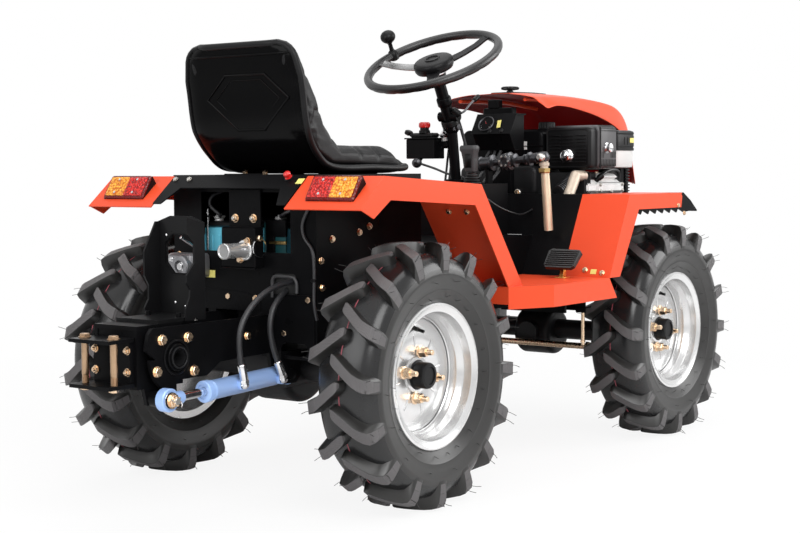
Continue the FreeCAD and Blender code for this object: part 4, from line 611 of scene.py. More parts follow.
def make_rim(name, centre, side, body):
    """Both faces of a pressed rim, its cap, nuts, ribs and valve."""
    shape = Shape()
    for profile in (RIM, INNER_RIM):
        shape.lathe([(r, side * y) for r, y in profile], centre, (0, 1, 0), "rim_silver", 96)
    cap = [(36, 6), (34, 9), (31, 10), (31, 36), (29, 40), (22, 41), (21, 38), (0, 38)]
    shape.lathe([(r, side * y) for r, y in cap], centre, (0, 1, 0), "black_plastic", 40)
    out = Vector((0, side, 0))
    for i in range(4):
        angle = math.pi / 2 * i - 0.19
        foot = around(centre, 54, angle, side * 5)
        shape.lathe([(15, 0), (15, 3), (9, 5)], foot, out, "gold_zinc", 20)
        shape.hexagon(foot + out * 0.004, out, 22, 17, "gold_zinc", angle)
        shape.rod(foot + out * 0.019, foot + out * 0.038, 6.5, "gold_zinc", 14, 1.2)
    for i in range(8):
        angle = math.pi / 4 * i + 0.16
        shape.tube([around(centre, r, angle, side * y) for r, y in ((66, 5), (80, 7.5), (94, 6.2))], 2.2,
                   "rim_silver", 8)
    valve_angle = math.radians(97)
    root = around(centre, 112, valve_angle, side * 2)
    tip = around(centre, 104, valve_angle, side * 34)
    shape.rod(root, root.lerp(tip, 0.55), 5.5, "side_rubber", 12, 1)
    shape.rod(root.lerp(tip, 0.5), tip, 4, "black_plastic", 12, 1)
    return shape.finish(name, body, 35)


# ---- seat
SEAT_PATH = ((-171, 1080), (-152, 980), (-133, 880), (-87, 816), (-21, 781), (125, 779), (260, 779),
             (279, 802))
CUSHION_FACE = ((-129, 1070), (-64, 964), (-35, 894), (-9, 858), (22, 838), (125, 837), (233, 838),
                (270, 812))
CLOTH_FRAMES = 20


def seat_half_width(share):
    """Half width of the seat along its path from the top of the back (0) to the front lip (1)."""
    half = 181 if share > 0.12 else 164 + 17 * share / 0.12
    if 0.3 < share < 0.6:
        half -= 8 * math.sin(math.pi * (share - 0.3) / 0.3)
    for edge, radius in ((share, 0.052), (1 - share, 0.05)):
        if edge < radius:
            half -= 40 * (1 - math.sqrt(max(0.0, 1 - (1 - edge / radius) ** 2)))
    return half


def make_seat_shell():
    """Moulded shell with its rolled rim, inner bead and pressed marks."""
    shape = Shape()
    path = smooth_path([Vector((x, 0, z)) for x, z in SEAT_PATH], 10)
    lengths = [0.0]
    for a, b in zip(path, path[1:]):
        lengths.append(lengths[-1] + (b - a).length)
    outer, inner = [], []
    across = [math.sin(math.pi / 2 * k / 12) for k in range(-12, 13)]
    for i, point in enumerate(path):
        along = (path[min(i + 1, len(path) - 1)] - path[max(i - 1, 0)]).normalized()
        normal = Vector((-along.z, 0, along.x))
        half = seat_half_width(lengths[i] / lengths[-1])
        ring_out, ring_in = [], []
        for v in across:
            curl = 9.0 * max(0.0, abs(v) - 0.72) ** 2 / 0.0784
            spot = point + normal * curl
            ring_out.append(at(spot.x, v * half, spot.z))
            spot = spot + normal * 3.5
            ring_in.append(at(spot.x, v * (half - 2), spot.z))
        outer.append(ring_out)
        inner.append(ring_in)
    out_made = shape.loft(outer, "seat_plastic", caps=False, closed=False)
    in_made = shape.loft(inner, "seat_plastic", caps=False, closed=False)
    for a, b in ((out_made[0], in_made[0]), (out_made[-1], in_made[-1])):
        shape.bridge(a, b, "seat_plastic", False)
    for k in (0, -1):
        shape.bridge([row[k] for row in out_made], [row[k] for row in in_made], "seat_plastic", False)
    rim = [row[0] for row in inner] + inner[-1] + [row[-1] for row in inner[::-1]] + inner[0][::-1]
    shape.tube(rim + rim[:1], 8.5, "seat_vinyl", 10, caps=False)
    border = [row[2] for row in outer] + outer[-1][2:-2]
    border += [row[-3] for row in outer[::-1]] + outer[3][2:-2][::-1]
    shape.tube(border[3:] + border[3:4], 3.0, "seat_plastic", 8, caps=False)
    slope = Vector((path[20].x - path[2].x, 0, path[20].z - path[2].z)).normalized()
    top = Vector((SEAT_PATH[0][0], 0, SEAT_PATH[0][1])) + slope * 127
    outward = Vector((slope.z, 0, -slope.x))
    marks = ((-128, 0), (-62, -58), (62, -58), (128, 0), (42, 74), (-42, 74))
    for scale, thick in ((0.78, 1.5), (1.0, 3.0)):
        ring = []
        for y, down in marks:
            spot = top + slope * down * scale + outward * 0.5
            ring.append(at(spot.x, y * scale - 18, spot.z))
        shape.tube(ring + ring[:1], thick, "seat_plastic", 8, caps=False)
    for x in (5, 165):
        for y in (-120, 120):
            shape.box(at(x, y - 15, 776), at(x + 40, y + 15, 783), "black_paint")
    shell = shape.finish("seat_shell", "tractor", 50)
    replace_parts(shell, "seat_pan")
    return shell


def make_cushion(settings):
    """Padded seat and back: a rounded block swollen by a cloth simulation, then its sewn lines."""
    shape = Shape()
    near = [Vector((x, 0, z)) for x, z in SEAT_PATH]
    offset = []
    for i, point in enumerate(near):
        along = (near[min(i + 1, len(near) - 1)] - near[max(i - 1, 0)]).normalized()
        offset.append(point + Vector((-along.z, 0, along.x)) * 9)
    face = [Vector((x, 0, z)) for x, z in CUSHION_FACE]
    offset[0] += Vector((1, 0, -9))
    offset[-1] += Vector((-9, 0, -7))
    outline = offset + face[::-1]
    half = 178
    rows = []
    for y, inset in ((-half, 14), (-half + 12, 4), (-half + 30, 0), (half - 30, 0), (half - 12, 4),
                     (half, 14)):
        ring = []
        for i, point in enumerate(outline):
            before, after = outline[i - 1], outline[(i + 1) % len(outline)]
            along = (after - before).normalized()
            spot = point + Vector((-along.z, 0, along.x)) * inset
            ring.append(at(spot.x, y, spot.z))
        rows.append(ring)
    shape.loft(rows, "seat_vinyl")
    cushion = shape.finish("seat_cushion_pad", None)
    select_only(cushion)
    cushion.data.remesh_voxel_size = settings.voxel * MM
    bpy.ops.object.voxel_remesh()
    rest = [vertex.co.copy() for vertex in cushion.data.vertices]
    cloth = cushion.modifiers.new("Cloth", "CLOTH")
    cloth.settings.use_pressure = True
    cloth.settings.uniform_pressure_force = settings.pressure
    cloth.settings.effector_weights.gravity = 0.0
    scene = bpy.context.scene
    for number in range(1, CLOTH_FRAMES + 1):
        scene.frame_set(number)
    bpy.ops.object.modifier_apply(modifier="Cloth")
    scene.frame_set(1)
    limit_swelling(cushion.data, rest, settings.swell * MM)
    sew_lines(cushion.data)
    modifier = cushion.modifiers.new("Subdivision", "SUBSURF")
    modifier.levels = modifier.render_levels = 1
    bpy.ops.object.modifier_apply(modifier="Subdivision")
    cushion.data.materials.clear()
    cushion.data.materials.append(MATERIALS["seat_vinyl"])
    shade_smooth(cushion.data)
    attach(cushion, "tractor")
    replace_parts(cushion, "seat_cushion")
    return cushion


def limit_swelling(data, rest, cap):
    """Keeps each point within a cap of where it was before the swelling."""
    for vertex, was in zip(data.vertices, rest):
        moved = vertex.co - was
        if moved.length > cap:
            vertex.co = was + moved.normalized() * cap
    data.update()


def sew_lines(data):
    """Presses the seams in: two across the back, two across the seat and one along each side."""
    lines = ((-103, 1010), (-53, 925), (95, 838), (165, 838))
    spread, depth = 5.0, 3.5
    for vertex in data.vertices:
        x = (vertex.co.x - REAR_AXLE.x) / MM
        y, z = vertex.co.y / MM, vertex.co.z / MM
        press = 0.0
        for line_x, line_z in lines:
            gap = abs(z - line_z) if line_z > 850 else abs(x - line_x)
            near_face = x > line_x - 30 if line_z > 850 else z > 815
            if near_face:
                press += math.exp(-(gap / spread) ** 2)
        for line_y in (-128, 128):
            if (z > 815 and x > 20) or (z > 850 and x > -120):
                press += 0.8 * math.exp(-((y - line_y) / spread) ** 2)
        vertex.co -= vertex.normal * min(press, 1.1) * depth * MM
    data.update()


def select_only(piece):
    bpy.ops.object.select_all(action="DESELECT")
    bpy.context.view_layer.objects.active = piece
    piece.select_set(True)


# ---- steering wheel
LEAN = math.radians(26.7)
COLUMN = Vector((-math.sin(LEAN), 0, math.cos(LEAN)))
ACROSS = Vector((math.cos(LEAN), 0, math.sin(LEAN)))
WHEEL_CENTRE = (639, 0, 1086)


def on_wheel(along, sideways, up):
    """A place on the steering wheel: along its face, sideways and up its column."""
    return at(*WHEEL_CENTRE) + (ACROSS * along + Vector((0, sideways, 0)) + COLUMN * up) * MM


def make_steering_wheel():
    """Grip ring, hub, three dished spokes and the turning knob."""
    shape = Shape()
    radius, steps = 188, 96
    rings = []
    for i in range(steps):
        turn = 2 * math.pi * i / steps
        ring = []
        for k in range(16):
            a = 2 * math.pi * k / 16
            bulge = 12.0 - (0.9 if (i % 4 == 0 and math.sin(a) < -0.2) else 0.0)
            r = radius + bulge * math.cos(a)
            ring.append(on_wheel(r * math.cos(turn), r * math.sin(turn), bulge * 1.05 * math.sin(a)))
        rings.append(ring)
    shape.loft(rings, "soft_black", joined=True)
    hub = on_wheel(0, 0, -11)
    shape.lathe([(18, -58), (23, -50), (26, -34), (27, -24)], hub, COLUMN, "black_plastic", 48)
    shape.lathe([(27, -24), (33, -23), (34, -20), (33, -16), (30, -15)], hub, COLUMN, "bright_steel", 48)
    shape.lathe([(46, -15), (52, -13), (56, -6), (57, 4), (55.5, 12), (51, 16), (44, 18), (22, 18.5),
                 (21, 21.5), (17.5, 21.5), (16.5, 18.5), (0, 18.5)], hub, COLUMN, "black_plastic", 64)
    shape.lathe([(0, -15), (46, -15)], hub, COLUMN, "black_plastic", 64)
    for turn, material in ((math.pi / 2, "spoke_grey"), (math.radians(210), "black_plastic"),
                           (math.radians(330), "black_plastic")):
        along, sideways = math.cos(turn), math.sin(turn)
        stations = []
        for r, width, high, up in ((44, 21, 3.5, -19), (60, 20, 3.5, -20), (95, 17, 3.5, -18),
                                   (140, 15, 3.5, -12), (168, 15, 3.5, -4), (184, 16, 4, -1)):
            ring = []
            for c, s in round_circle(16):
                side = width * squared(c, 0.5)
                rise = high * squared(s, 0.7) + 5 * (side / width) ** 2
                ring.append(on_wheel(r * along - sideways * side, r * sideways + along * side, up + rise))
            stations.append(ring)
        shape.loft(stations, material)
    turn = math.radians(19)
    foot = (188 * math.sin(turn), 188 * math.cos(turn))
    knob = [(8, -15), (15, -11), (16, 4), (12, 13), (7, 17), (6, 24), (6, 36), (9, 40)]
    knob += [(22 * math.cos(a), 58 + 19 * math.sin(a))
             for a in (math.radians(-56 + 146 * k / 11) for k in range(12))]
    shape.lathe(knob, on_wheel(*foot, 0), COLUMN, "black_plastic", 36)
    wheel = shape.finish("steering_wheel_rim", "steering_wheel", 40)
    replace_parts(wheel, "steering_wheel")
    return wheel


# ---- tail lamps
def make_tail_lamps():
    """Two lamps, each a base, a dark surround and a red and an amber lens."""
    inner, outer = 259.0, 397.0
    made = []
    for side, name in ((1, "left"), (-1, "right")):
        shape = Shape()
        bottom, top = Vector((-229, 0, 719.5)), Vector((-195, 0, 774.5))
        down = (bottom - top).normalized()
        out = Vector((down.z, 0, -down.x))
        length = (bottom - top).length

        def spot(y, s, lift):
            place = top + down * s + out * lift
            return at(place.x, side * y, place.z)

        def rounded(y0, y1, s0, s1, lift, corner):
            return [spot(y, s, lift) for y, s in rounded_rectangle(y0, y1, s0, s1, corner, 5)]

        base_low = [at(-181 if k < 2 else -227, side * y, 755.6 if k < 2 else 717.2)
                    for k, y in enumerate((inner, outer, outer, inner))]
        base_top = [spot(y, s, -3) for y, s in ((inner, 0), (outer, 0), (outer, length), (inner, length))]
        shape.loft([base_low, base_top], "black_plastic")
        shape.loft([rounded(inner, outer, 0, length, -3, 5), rounded(inner, outer, 0, length, 0, 5),
                    rounded(inner + 3, outer - 3, 3, length - 3, 3, 5),
                    rounded(inner + 6, outer - 6, 6, length - 6, 3, 4)], "lamp_surround")
        middle_y = (inner + outer) / 2
        for y0, y1, colour in ((inner + 6, middle_y, "red_lens"), (middle_y, outer - 6, "amber_lens")):
            shape.loft([rounded(y0, y1, 6, length - 6, 0, 2), rounded(y0, y1, 6, length - 6, 4.2, 2),
                        rounded(y0 + 2, y1 - 2, 8, length - 8, 5.2, 2)], colour)
            rows, columns = 6, 7
            for r in range(rows):
                for c in range(columns):
                    s0 = 9 + (length - 18) * r / rows
                    ya = y0 + 3 + (y1 - y0 - 6) * c / columns
                    wide, tall = (y1 - y0 - 6) / columns, (length - 18) / rows
                    base = [spot(ya, s0, 5.2), spot(ya + wide, s0, 5.2), spot(ya + wide, s0 + tall, 5.2),
                            spot(ya, s0 + tall, 5.2)]
                    tip = [spot(ya + wide * u, s0 + tall * v, 6.6)
                           for u, v in ((0.3, 0.3), (0.7, 0.3), (0.7, 0.7), (0.3, 0.7))]
                    shape.loft([base, tip], colour)
            for s in (14, length - 14):
                shape.lathe([(3.2, 0), (3.2, 2.0), (0, 2.4)], spot((y0 + y1) / 2, s, 5), out,
                            "bright_steel", 12)
        made.append(shape.finish("tail_lamp_" + name, "tractor", 30))
    for lamp in made:
        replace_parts(lamp, "tail_lamps")


# ---- hood
HOOD_STATIONS = (
    # x, height of the crest, drop of the skirt, share of its flare
    (925, 993, 14, 0.5), (942, 994, 26, 0.95), (957, 995, 38, 1), (982, 996, 33, 1), (1008, 997, 27, 1),
    (1060, 998, 29, 1), (1120, 998, 35, 1), (1190, 997, 43, 1), (1250, 995, 51, 1), (1313, 991, 61, 1),
    (1377, 985, 74, 1), (1416, 977, 83, 1), (1449, 962, 90, 1), (1476, 941, 91, 1), (1492, 920, 89, 1),
    (1504, 890, 80, 1), (1512, 850, 62, 1), (1519, 805, 40, 1), (1526, 765, 20, 1), (1530, 738, 6, 1),
)
CREST, FLARE = 154, 26


def hood_ring(x, z, drop, share):
    """One cross section of the hood, from its right lower edge over the crown to the left one."""
    front = min(max((x - 1380) / 110, 0), 1)
    back = front * 30
    arch = 15 - 10 * front
    half = [(CREST + FLARE * share, -drop, back), (CREST + FLARE * share * 0.8, -drop * 0.72, back * 0.75),
            (CREST + FLARE * share * 0.35, -drop * 0.32, back * 0.4), (CREST + 2.5, -5, 4 * front),
            (CREST - 3, -0.8, 0), (CREST - 14, 1.4, -1 * front), (110, arch * 0.5, -4 * front),
            (60, arch * 0.86, -8 * front), (0, arch, -10 * front)]
    right = [at(x - b, -y, z + up) for y, up, b in half]
    left = [at(x - b, y, z + up) for y, up, b in half[-2::-1]]
    return right + left


def make_hood():
    """Hood skin, left open at its rear notch, with its ribs, pad, knob and grille."""
    shape = Shape()
    rings = [hood_ring(*station) for station in HOOD_STATIONS]
    grid = [shape.vertices(ring) for ring in rings]
    middle_column = len(grid[0]) // 2
    for i, (a, b) in enumerate(zip(grid, grid[1:])):
        for k in range(len(a) - 1):
            if HOOD_STATIONS[i + 1][0] < 990 and abs(k + 0.5 - middle_column) < 1:
                continue
            shape.face((a[k], a[k + 1], b[k + 1], b[k]), "red_paint")
    # The inner face takes the red paint darkened, as painted shade under the hood.
    shape.slot("red_paint_painted_shade")  # the skin's inner face takes the second slot
    hood = shape.finish("hood_shell", "hood", 60)
    skin = hood.modifiers.new("Skin", "SOLIDIFY")
    skin.thickness = 2.5 * MM
    skin.offset = -1
    skin.material_offset = 1
    smooth = hood.modifiers.new("Smooth", "SUBSURF")
    smooth.levels = smooth.render_levels = 1
    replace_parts(hood, "hood")
    trim = Shape()
    for side in (-1, 1):
        trim.tube([at(x, side * (CREST - 40), z - 3) for x, z in ((940, 990), (1190, 994), (1380, 980))], 6,
                  "red_paint", 6)
        trim.box(at(1497, side * 102 - 8, 702), at(1512, side * 102 + 8, 752), "black_paint", 2)
    trim.loft([[at(x, y, z) for y in (-34, 34)] + [at(x, y, z - 4) for y in (34, -34)]
               for x, z in ((988, 1012), (1000, 1013.5), (1120, 1015.5), (1190, 1014.5))], "black_plastic")
    knob_foot = at(1039, 0, 1013)
    trim.lathe([(10, 0), (10, 6), (7, 7), (7, 9)], knob_foot, UP, "black_plastic", 24)
    rings = []
    for height, grow in ((8, 0.82), (10, 1.0), (15, 1.0), (18, 0.8), (19, 0.4)):
        ring = []
        for i in range(60):
            turn = 2 * math.pi * i / 60
            r = (22 + 6.5 * math.cos(5 * turn)) * grow
            ring.append(knob_foot + Vector((r * math.cos(turn), r * math.sin(turn), height)) * MM)
        rings.append(ring)
    trim.loft(rings, "black_plastic")
    for z in range(768, 880, 12):
        x = 1530 - (z - 738) * 0.165
        trim.box(at(x + 2.5, -40, z), at(x + 6, 40, z + 5), "black_plastic", 1)
    trim.finish("hood_trim", "hood")


# ---- engine and what stands round it
def rounded_ring(x, y0, y1, z0, z1, corner):
    """A rounded rectangle that faces along X."""
    return [at(x, y, z) for y, z in rounded_rectangle(y0, y1, z0, z1, corner)]


def shell_along_x(shape, x0, x1, y0, y1, z0, z1, corner, edge, material):
    """A moulded case: rounded corners, and edges eased at both ends."""
    rings = []
    for x, inset in ((x0, edge), (x0 + edge * 0.4, edge * 0.3), (x0 + edge, 0), (x1 - edge, 0),
                     (x1 - edge * 0.4, edge * 0.3), (x1, edge)):
        rings.append(rounded_ring(x, y0 + inset, y1 - inset, z0 + inset, z1 - inset,
                                  max(corner - inset, 1)))
    shape.loft(rings, material)


def make_air_cleaner():
    """Air cleaner box and the finned cover beside it."""
    shape = Shape()
    shell_along_x(shape, 1002, 1045, -296, -146, 783, 905, 14, 5, "black_plastic")
    rim = rounded_ring(1002.5, -289, -153, 790, 898, 12)
    shape.tube(rim + rim[:1], 2.2, "black_plastic", 8, caps=False)
    for row in range(9):
        z = 803 + row * 9.5
        for y0, y1 in ((-282, -246), (-198, -162)):
            shape.box(at(998.5, y0, z), at(1003, y1, z + 3.4), "black_plastic", 1)
        if row in (0, 5, 6, 7, 8):
            shape.box(at(998.5, -240, z), at(1003, -204, z + 3.4), "black_plastic", 1)
    knob = at(1002, -222, 822)
    shape.lathe([(19, 0), (19, 3), (12, 4), (9, 6), (9, 9), (15, 10), (16.5, 13), (16, 17), (12, 19.5),
                 (0, 20)], knob, BACK, "chrome", 32)
    shape.box(at(1025, -256, 775), at(1045, -176, 786), "black_plastic", 3)
    box = shape.finish("air_cleaner", "tractor")
    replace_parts(box, "air_box")
    cover = Shape()
    shell_along_x(cover, 1045, 1150, -302, -140, 783, 911, 18, 6, "grey_plastic")
    # Vent slots drawn as near-black boxes: painted shade inside the openings.
    for x in range(1058, 1142, 9):
        for z0, z1 in ((792, 812), (816, 834)):
            if not (z1 > 820 and 1068 < x < 1112):
                cover.box(at(x, -303, z0), at(x + 4, -300, z1), "dial_black_and_hole_shade", 0.5)
    # Perforations drawn as near-black dots: painted shade inside the holes.
    for row in range(4):
        for k in range(11):
            x = 1056 + k * 8.5 + (row % 2) * 4
            turn = math.radians(6 + row * 22)
            y, z = -284 - 18.3 * math.cos(turn), 893 + 18.3 * math.sin(turn)
            out = Vector((0, -math.cos(turn), math.sin(turn)))
            cover.lathe([(2.6, 0), (2.6, 0.5), (0, 0.5)], at(x, y, z), out, "dial_black_and_hole_shade", 6)
    cover.lathe([(16, 0), (16, 2), (10, 3), (10, 8), (13, 9), (13.5, 15), (10, 18), (0, 19)],
                at(1089, -301, 845), RIGHT, "bright_steel", 28)
    cover.box(at(1048, -303.5, 786), at(1053, -299, 905), "black_plastic", 1)
    piece = cover.finish("cooling_grille", "tractor")
    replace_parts(piece, "cooling_cover")


def make_canister():
    """Pale oil bowl with a black cap on its bracket."""
    shape = Shape()
    y0, y1, x0, x1 = -282, -165, 1180, 1300

    def ring(z, grow):
        return [at(x, y, z) for x, y in rounded_rectangle(x0 - grow, x1 + grow, y0 - grow, y1 + grow, 20)]

    shape.loft([ring(786, -6), ring(789, -1), ring(793, 0), ring(840, 0)], "pale_plastic")
    cap = [(838, 1), (839, 3), (846, 3), (847, 1.5), (850, 1.5), (851, 3), (882, 3), (886, 1.5), (888, 3),
           (892, 3), (896, 1), (899, -6)]
    shape.loft([ring(z, grow) for z, grow in cap], "black_plastic")
    for x in (1240, 1260):
        shape.box(at(x - 14, y0 - 4.2, 856), at(x - 8, y0 - 2.6, 878), "black_plastic", 0.5)
    shape.box(at(1262, y0 - 4, 862), at(1286, y0 - 2.8, 876), "yellow_label", 0.3)
    for x in (1247, 1276):
        shape.box(at(x, -262, 703), at(x + 20, -185, 789), "black_paint", 1.5)
    for z in range(715, 785, 9):
        shape.box(at(1274, -266, z), at(1298, -258, z + 4), "black_plastic", 1)
    canister = shape.finish("oil_bath_canister", "tractor")
    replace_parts(canister, "oil_canister")


def make_engine():
    """Crankcase, fins, breather hose, alloy cover and recoil housing."""
    shape = Shape()
    shell_along_x(shape, 990, 1235, -120, 150, 703, 795, 22, 9, "cast_metal")
    shape.box(at(1020, -262, 703), at(1100, -120, 775), "cast_metal", 6)
    for k in range(5):
        x = 1003 + k * 8.5
        shape.box(at(x, -276, 706), at(x + 3.2, -118, 774), "cast_metal", 1)
    duct, end = at(1012, -244, 768), at(900, -244, 716)
    ribs = [(13, 0)]
    for k in range(14):
        ribs += [(13, 3 + k * 8), (18, 4.5 + k * 8), (18, 7 + k * 8), (13, 8.5 + k * 8)]
    shape.lathe(ribs, duct, end - duct, "dark_steel", 28, True)
    shape.box(at(1008, -280, 705), at(1243, -130, 752), "alloy", 16)
    shape.box(at(1064, -286, 712), at(1228, -268, 744), "alloy", 8)
    shape.box(at(1092, -272, 748), at(1215, -150, 772), "alloy", 14)
    for x, z in ((1080, 720), (1212, 720), (1080, 738), (1212, 738), (1146, 717)):
        shape.bolt(at(x, -286, z), (0, -1, 0), 5, "steel")
    for x, y in ((1108, -256), (1200, -256), (1108, -175), (1200, -175)):
        shape.bolt(at(x, y, 772), (0, 0, 1), 5, "gold_zinc")
    shape.lathe([(7, 0), (7, 16), (9, 17), (9, 30), (6, 34), (0, 35)], at(1085, -262, 745),
                (0.3, -0.5, 0.5), "black_plastic", 20)
    for sag, y in ((0, -270), (9, -262), (16, -252)):
        points = [at(1105, y, 758 - sag), at(1135, y - 6, 776 - sag * 0.4),
                  at(1180, y - 8, 781 - sag * 0.4), at(1222, y, 772 - sag), at(1236, y + 8, 742 - sag)]
        shape.tube(smooth_path(points, 8), 4.2, "hose_rubber", 8)
    shape.lathe([(52, 0), (58, 4), (62, 14), (62, 26), (54, 38), (30, 42), (0, 43)], at(1110, 150, 752),
                (0, 1, 0), "black_plastic", 40)
    # Holes in the recoil housing drawn as near-black squares: painted shade.
    for c, s in round_circle(12):
        x, z = 1110 + 40 * c, 752 + 40 * s
        shape.box(at(x - 4, 189, z - 4), at(x + 4, 193, z + 4), "dial_black_and_hole_shade", 1)
    shape.rod(at(1000, -60, 715), at(982, -60, 715), 11, "steel", 20, 2)
    shape.bolt(at(982, -60, 715), (-1, 0, 0), 8, "gold_zinc")
    engine = shape.finish("engine_block", "tractor")
    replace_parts(engine, "engine")


def make_tank():
    """Fuel tank and its knurled cap."""
    shape = Shape()
    shell_along_x(shape, 1003, 1175, -136, 150, 800, 902, 22, 8, "black_paint")
    shape.tube([at(1003, y, z) for y, z in ((-136, 852), (150, 852))], 2.5, "black_paint", 8)
    rings = []
    for z, r in ((900, 25), (903, 26), (905, 24), (906, 24), (922, 23), (924, 20)):
        ring = []
        for i in range(72):
            turn = 2 * math.pi * i / 72
            bump = 1.2 if i % 3 == 0 and 904 < z < 923 else 0
            ring.append(at(1070 + (r + bump) * math.cos(turn), -110 + (r + bump) * math.sin(turn), z))
        rings.append(ring)
    shape.loft(rings, "black_plastic")
    shape.box(at(1001.6, -82, 842), at(1003.5, -62, 866), "pale_plastic", 0.3)
    for x in (1033, 1121):
        shape.box(at(x, -90, 795), at(x + 24, 120, 803), "black_paint", 1)
    tank = shape.finish("fuel_tank_shell", "tractor")
    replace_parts(tank, "fuel_tank")


# radius, distance right of the drum's left end, and how far the axis is above the drum's
SILENCER_PROFILE = ((16, 0), (21, 2), (21, 9), (18, 10), (18, 40), (21, 41), (23, 43), (23, 49), (20, 50),
                    (9, 51), (9, 74), (14, 75), (20, 77), (20, 80), (15, 82), (15, 85), (22, 87), (23, 89),
                    (23, 92), (17, 94), (17, 97), (24, 99), (25, 102), (25, 107), (20, 109), (14, 110),
                    (14, 114), (19, 116), (19, 124), (10, 126), (10, 150), (14, 151), (14, 156), (10, 157),
                    (10, 166), (19, 167), (19, 172), (12, 173), (12, 180), (15, 181), (15, 192), (12, 194),
                    (12, 198), (16, 201), (17, 212), (15, 222), (9, 227), (0, 228))


def make_exhaust():
    """Stepped silencer across the bulkhead and the tail pipe below its end."""
    shape = Shape()
    x, low, rise = 770, 799, 18
    drum = at(x, -68, low)
    line = Vector((0, -214, rise)).normalized()
    shape.lathe(SILENCER_PROFILE, drum, line, "dark_steel", 40)
    for along in (88, 103):
        for c, s in round_circle(8):
            spot = drum + line * along * MM + Vector((16 * c, 0, 16 * s)) * MM
            shape.rod(spot - line * 6 * MM, spot + line * 8 * MM, 2.6, "steel", 10, 0.5)
    flange = drum + line * 100 * MM + Vector((-24, 0, 0)) * MM
    shape.lathe([(20, 0), (20, 5), (17, 7), (9, 7), (8, 4), (0, 4)], flange, BACK, "dark_steel", 32)
    for c, s in round_circle(6):
        shape.bolt(flange + BACK * 5 * MM + Vector((0, 14 * c, 14 * s)) * MM, BACK, 3.6, "steel", None,
                   False)
    shape.lathe([(11, 0), (11, 14), (14, 15), (14, 23), (11, 24), (11, 34)], at(x, -282, 817), (0, 0, -1),
                "burnt_steel", 28)
    shape.lathe([(8, 0), (11, 2), (11, 12), (8, 14), (6, 20), (0, 20)], at(x - 12, -282, 817), BACK,
                "steel", 24)
    shape.boxes("black_paint", 1, (x - 12, -106, 745, x + 12, -94, 785),
                (x + 20, -110, 790, x + 90, -98, 800))
    silencer = shape.finish("silencer_pipe", "tractor")
    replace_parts(silencer, "silencer")
    tail = Shape()
    lean = math.radians(7)
    down = Vector((math.sin(lean), 0, -math.cos(lean)))
    top = at(x + 3, -282, 785)
    tail.hexagon(at(x, -282, 787), (0, 0, -1), 30, 13, "brass", 0.2)
    tail.lathe([(11.5, 6), (12, 60), (12.5, 171), (10.5, 171), (10, 30)], top, down, "heat_steel", 32)
    piece = tail.finish("tail_pipe_tube", "tractor")
    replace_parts(piece, "tail_pipe")


# ---- controls
def make_instruments():
    """Instrument box with its gauge, plate, switches and cables."""
    shape = Shape()
    outline = ((846, 888), (882, 941), (925, 941), (925, 840), (874, 840))
    shape.loft([[at(x, y, z) for x, z in outline] for y in (-120, 7)], "black_paint")
    shape.loft([[at(x, y, z) for x, z in ((842, 886), (879, 945), (930, 945), (930, 941), (882, 941),
                                          (847, 888))] for y in (-124, -120, 7, 11)], "black_paint")
    shape.boxes("black_paint", 2, (915, -86, 945, 940, 14, 964), (912, -40, 962, 936, -3, 988))
    shape.box(at(901, -90, 703), at(921, -23, 840), "black_paint", 1)
    face = Vector((-0.827, 0, 0.562))
    gauge = at(863, -32, 914)
    shape.lathe([(26, 0), (26, 5), (24, 6.5), (22, 5), (21, 2)], gauge, face, "dark_steel", 40)
    shape.lathe([(21.5, 2), (0, 2)], gauge, face, "dial_black_and_hole_shade", 40)
    up = Vector((0.562, 0, 0.827))
    for i in range(11):
        turn = math.radians(-40 + 26 * i)
        out = LEFT * math.cos(turn) + up * math.sin(turn)
        shape.tube([gauge + face * 2.4 * MM + out * r * MM for r in (15, 19)], 0.6, "pale_plastic", 4)
    needle = LEFT * 0.5 + up * 0.8
    shape.tube([gauge + face * 3 * MM, gauge + face * 3 * MM + needle * 13 * MM], 0.7, "red_plastic", 4)
    label = at(857.5, -78, 914.5)
    spots = [label + LEFT * a * MM + up * b * MM for a, b in ((-8, -12), (4, -14), (9, 12), (-3, 14))]
    shape.plate(spots, face * 0.8 * MM, "yellow_label")
    for y in (-52, -92):
        shape.lathe([(7, 0), (7, 4), (5, 6), (0, 6)], at(850, y, 893 if y < -60 else 892), face,
                    "black_plastic", 16)
    for k, (y, x_end, y_end) in enumerate(((-30, 800, -60), (-50, 790, -40), (-70, 785, -90))):
        points = [at(880, y, 838), at(862, y, 812), at(838, y_end, 782), at(x_end, y_end, 745)]
        shape.tube(smooth_path(points, 8), 4 + k * 0.6, "hose_rubber", 8)
    cable = [at(665, -160, 705), at(700, -178, 681), at(748, -190, 664), at(800, -190, 658),
             at(860, -190, 672), at(904, -190, 698)]
    shape.tube(smooth_path(cable, 6), 2.6, "soft_black", 8)
    box = shape.finish("instrument_cowl", "tractor", bevel=1.0)
    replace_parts(box, "instrument_box")


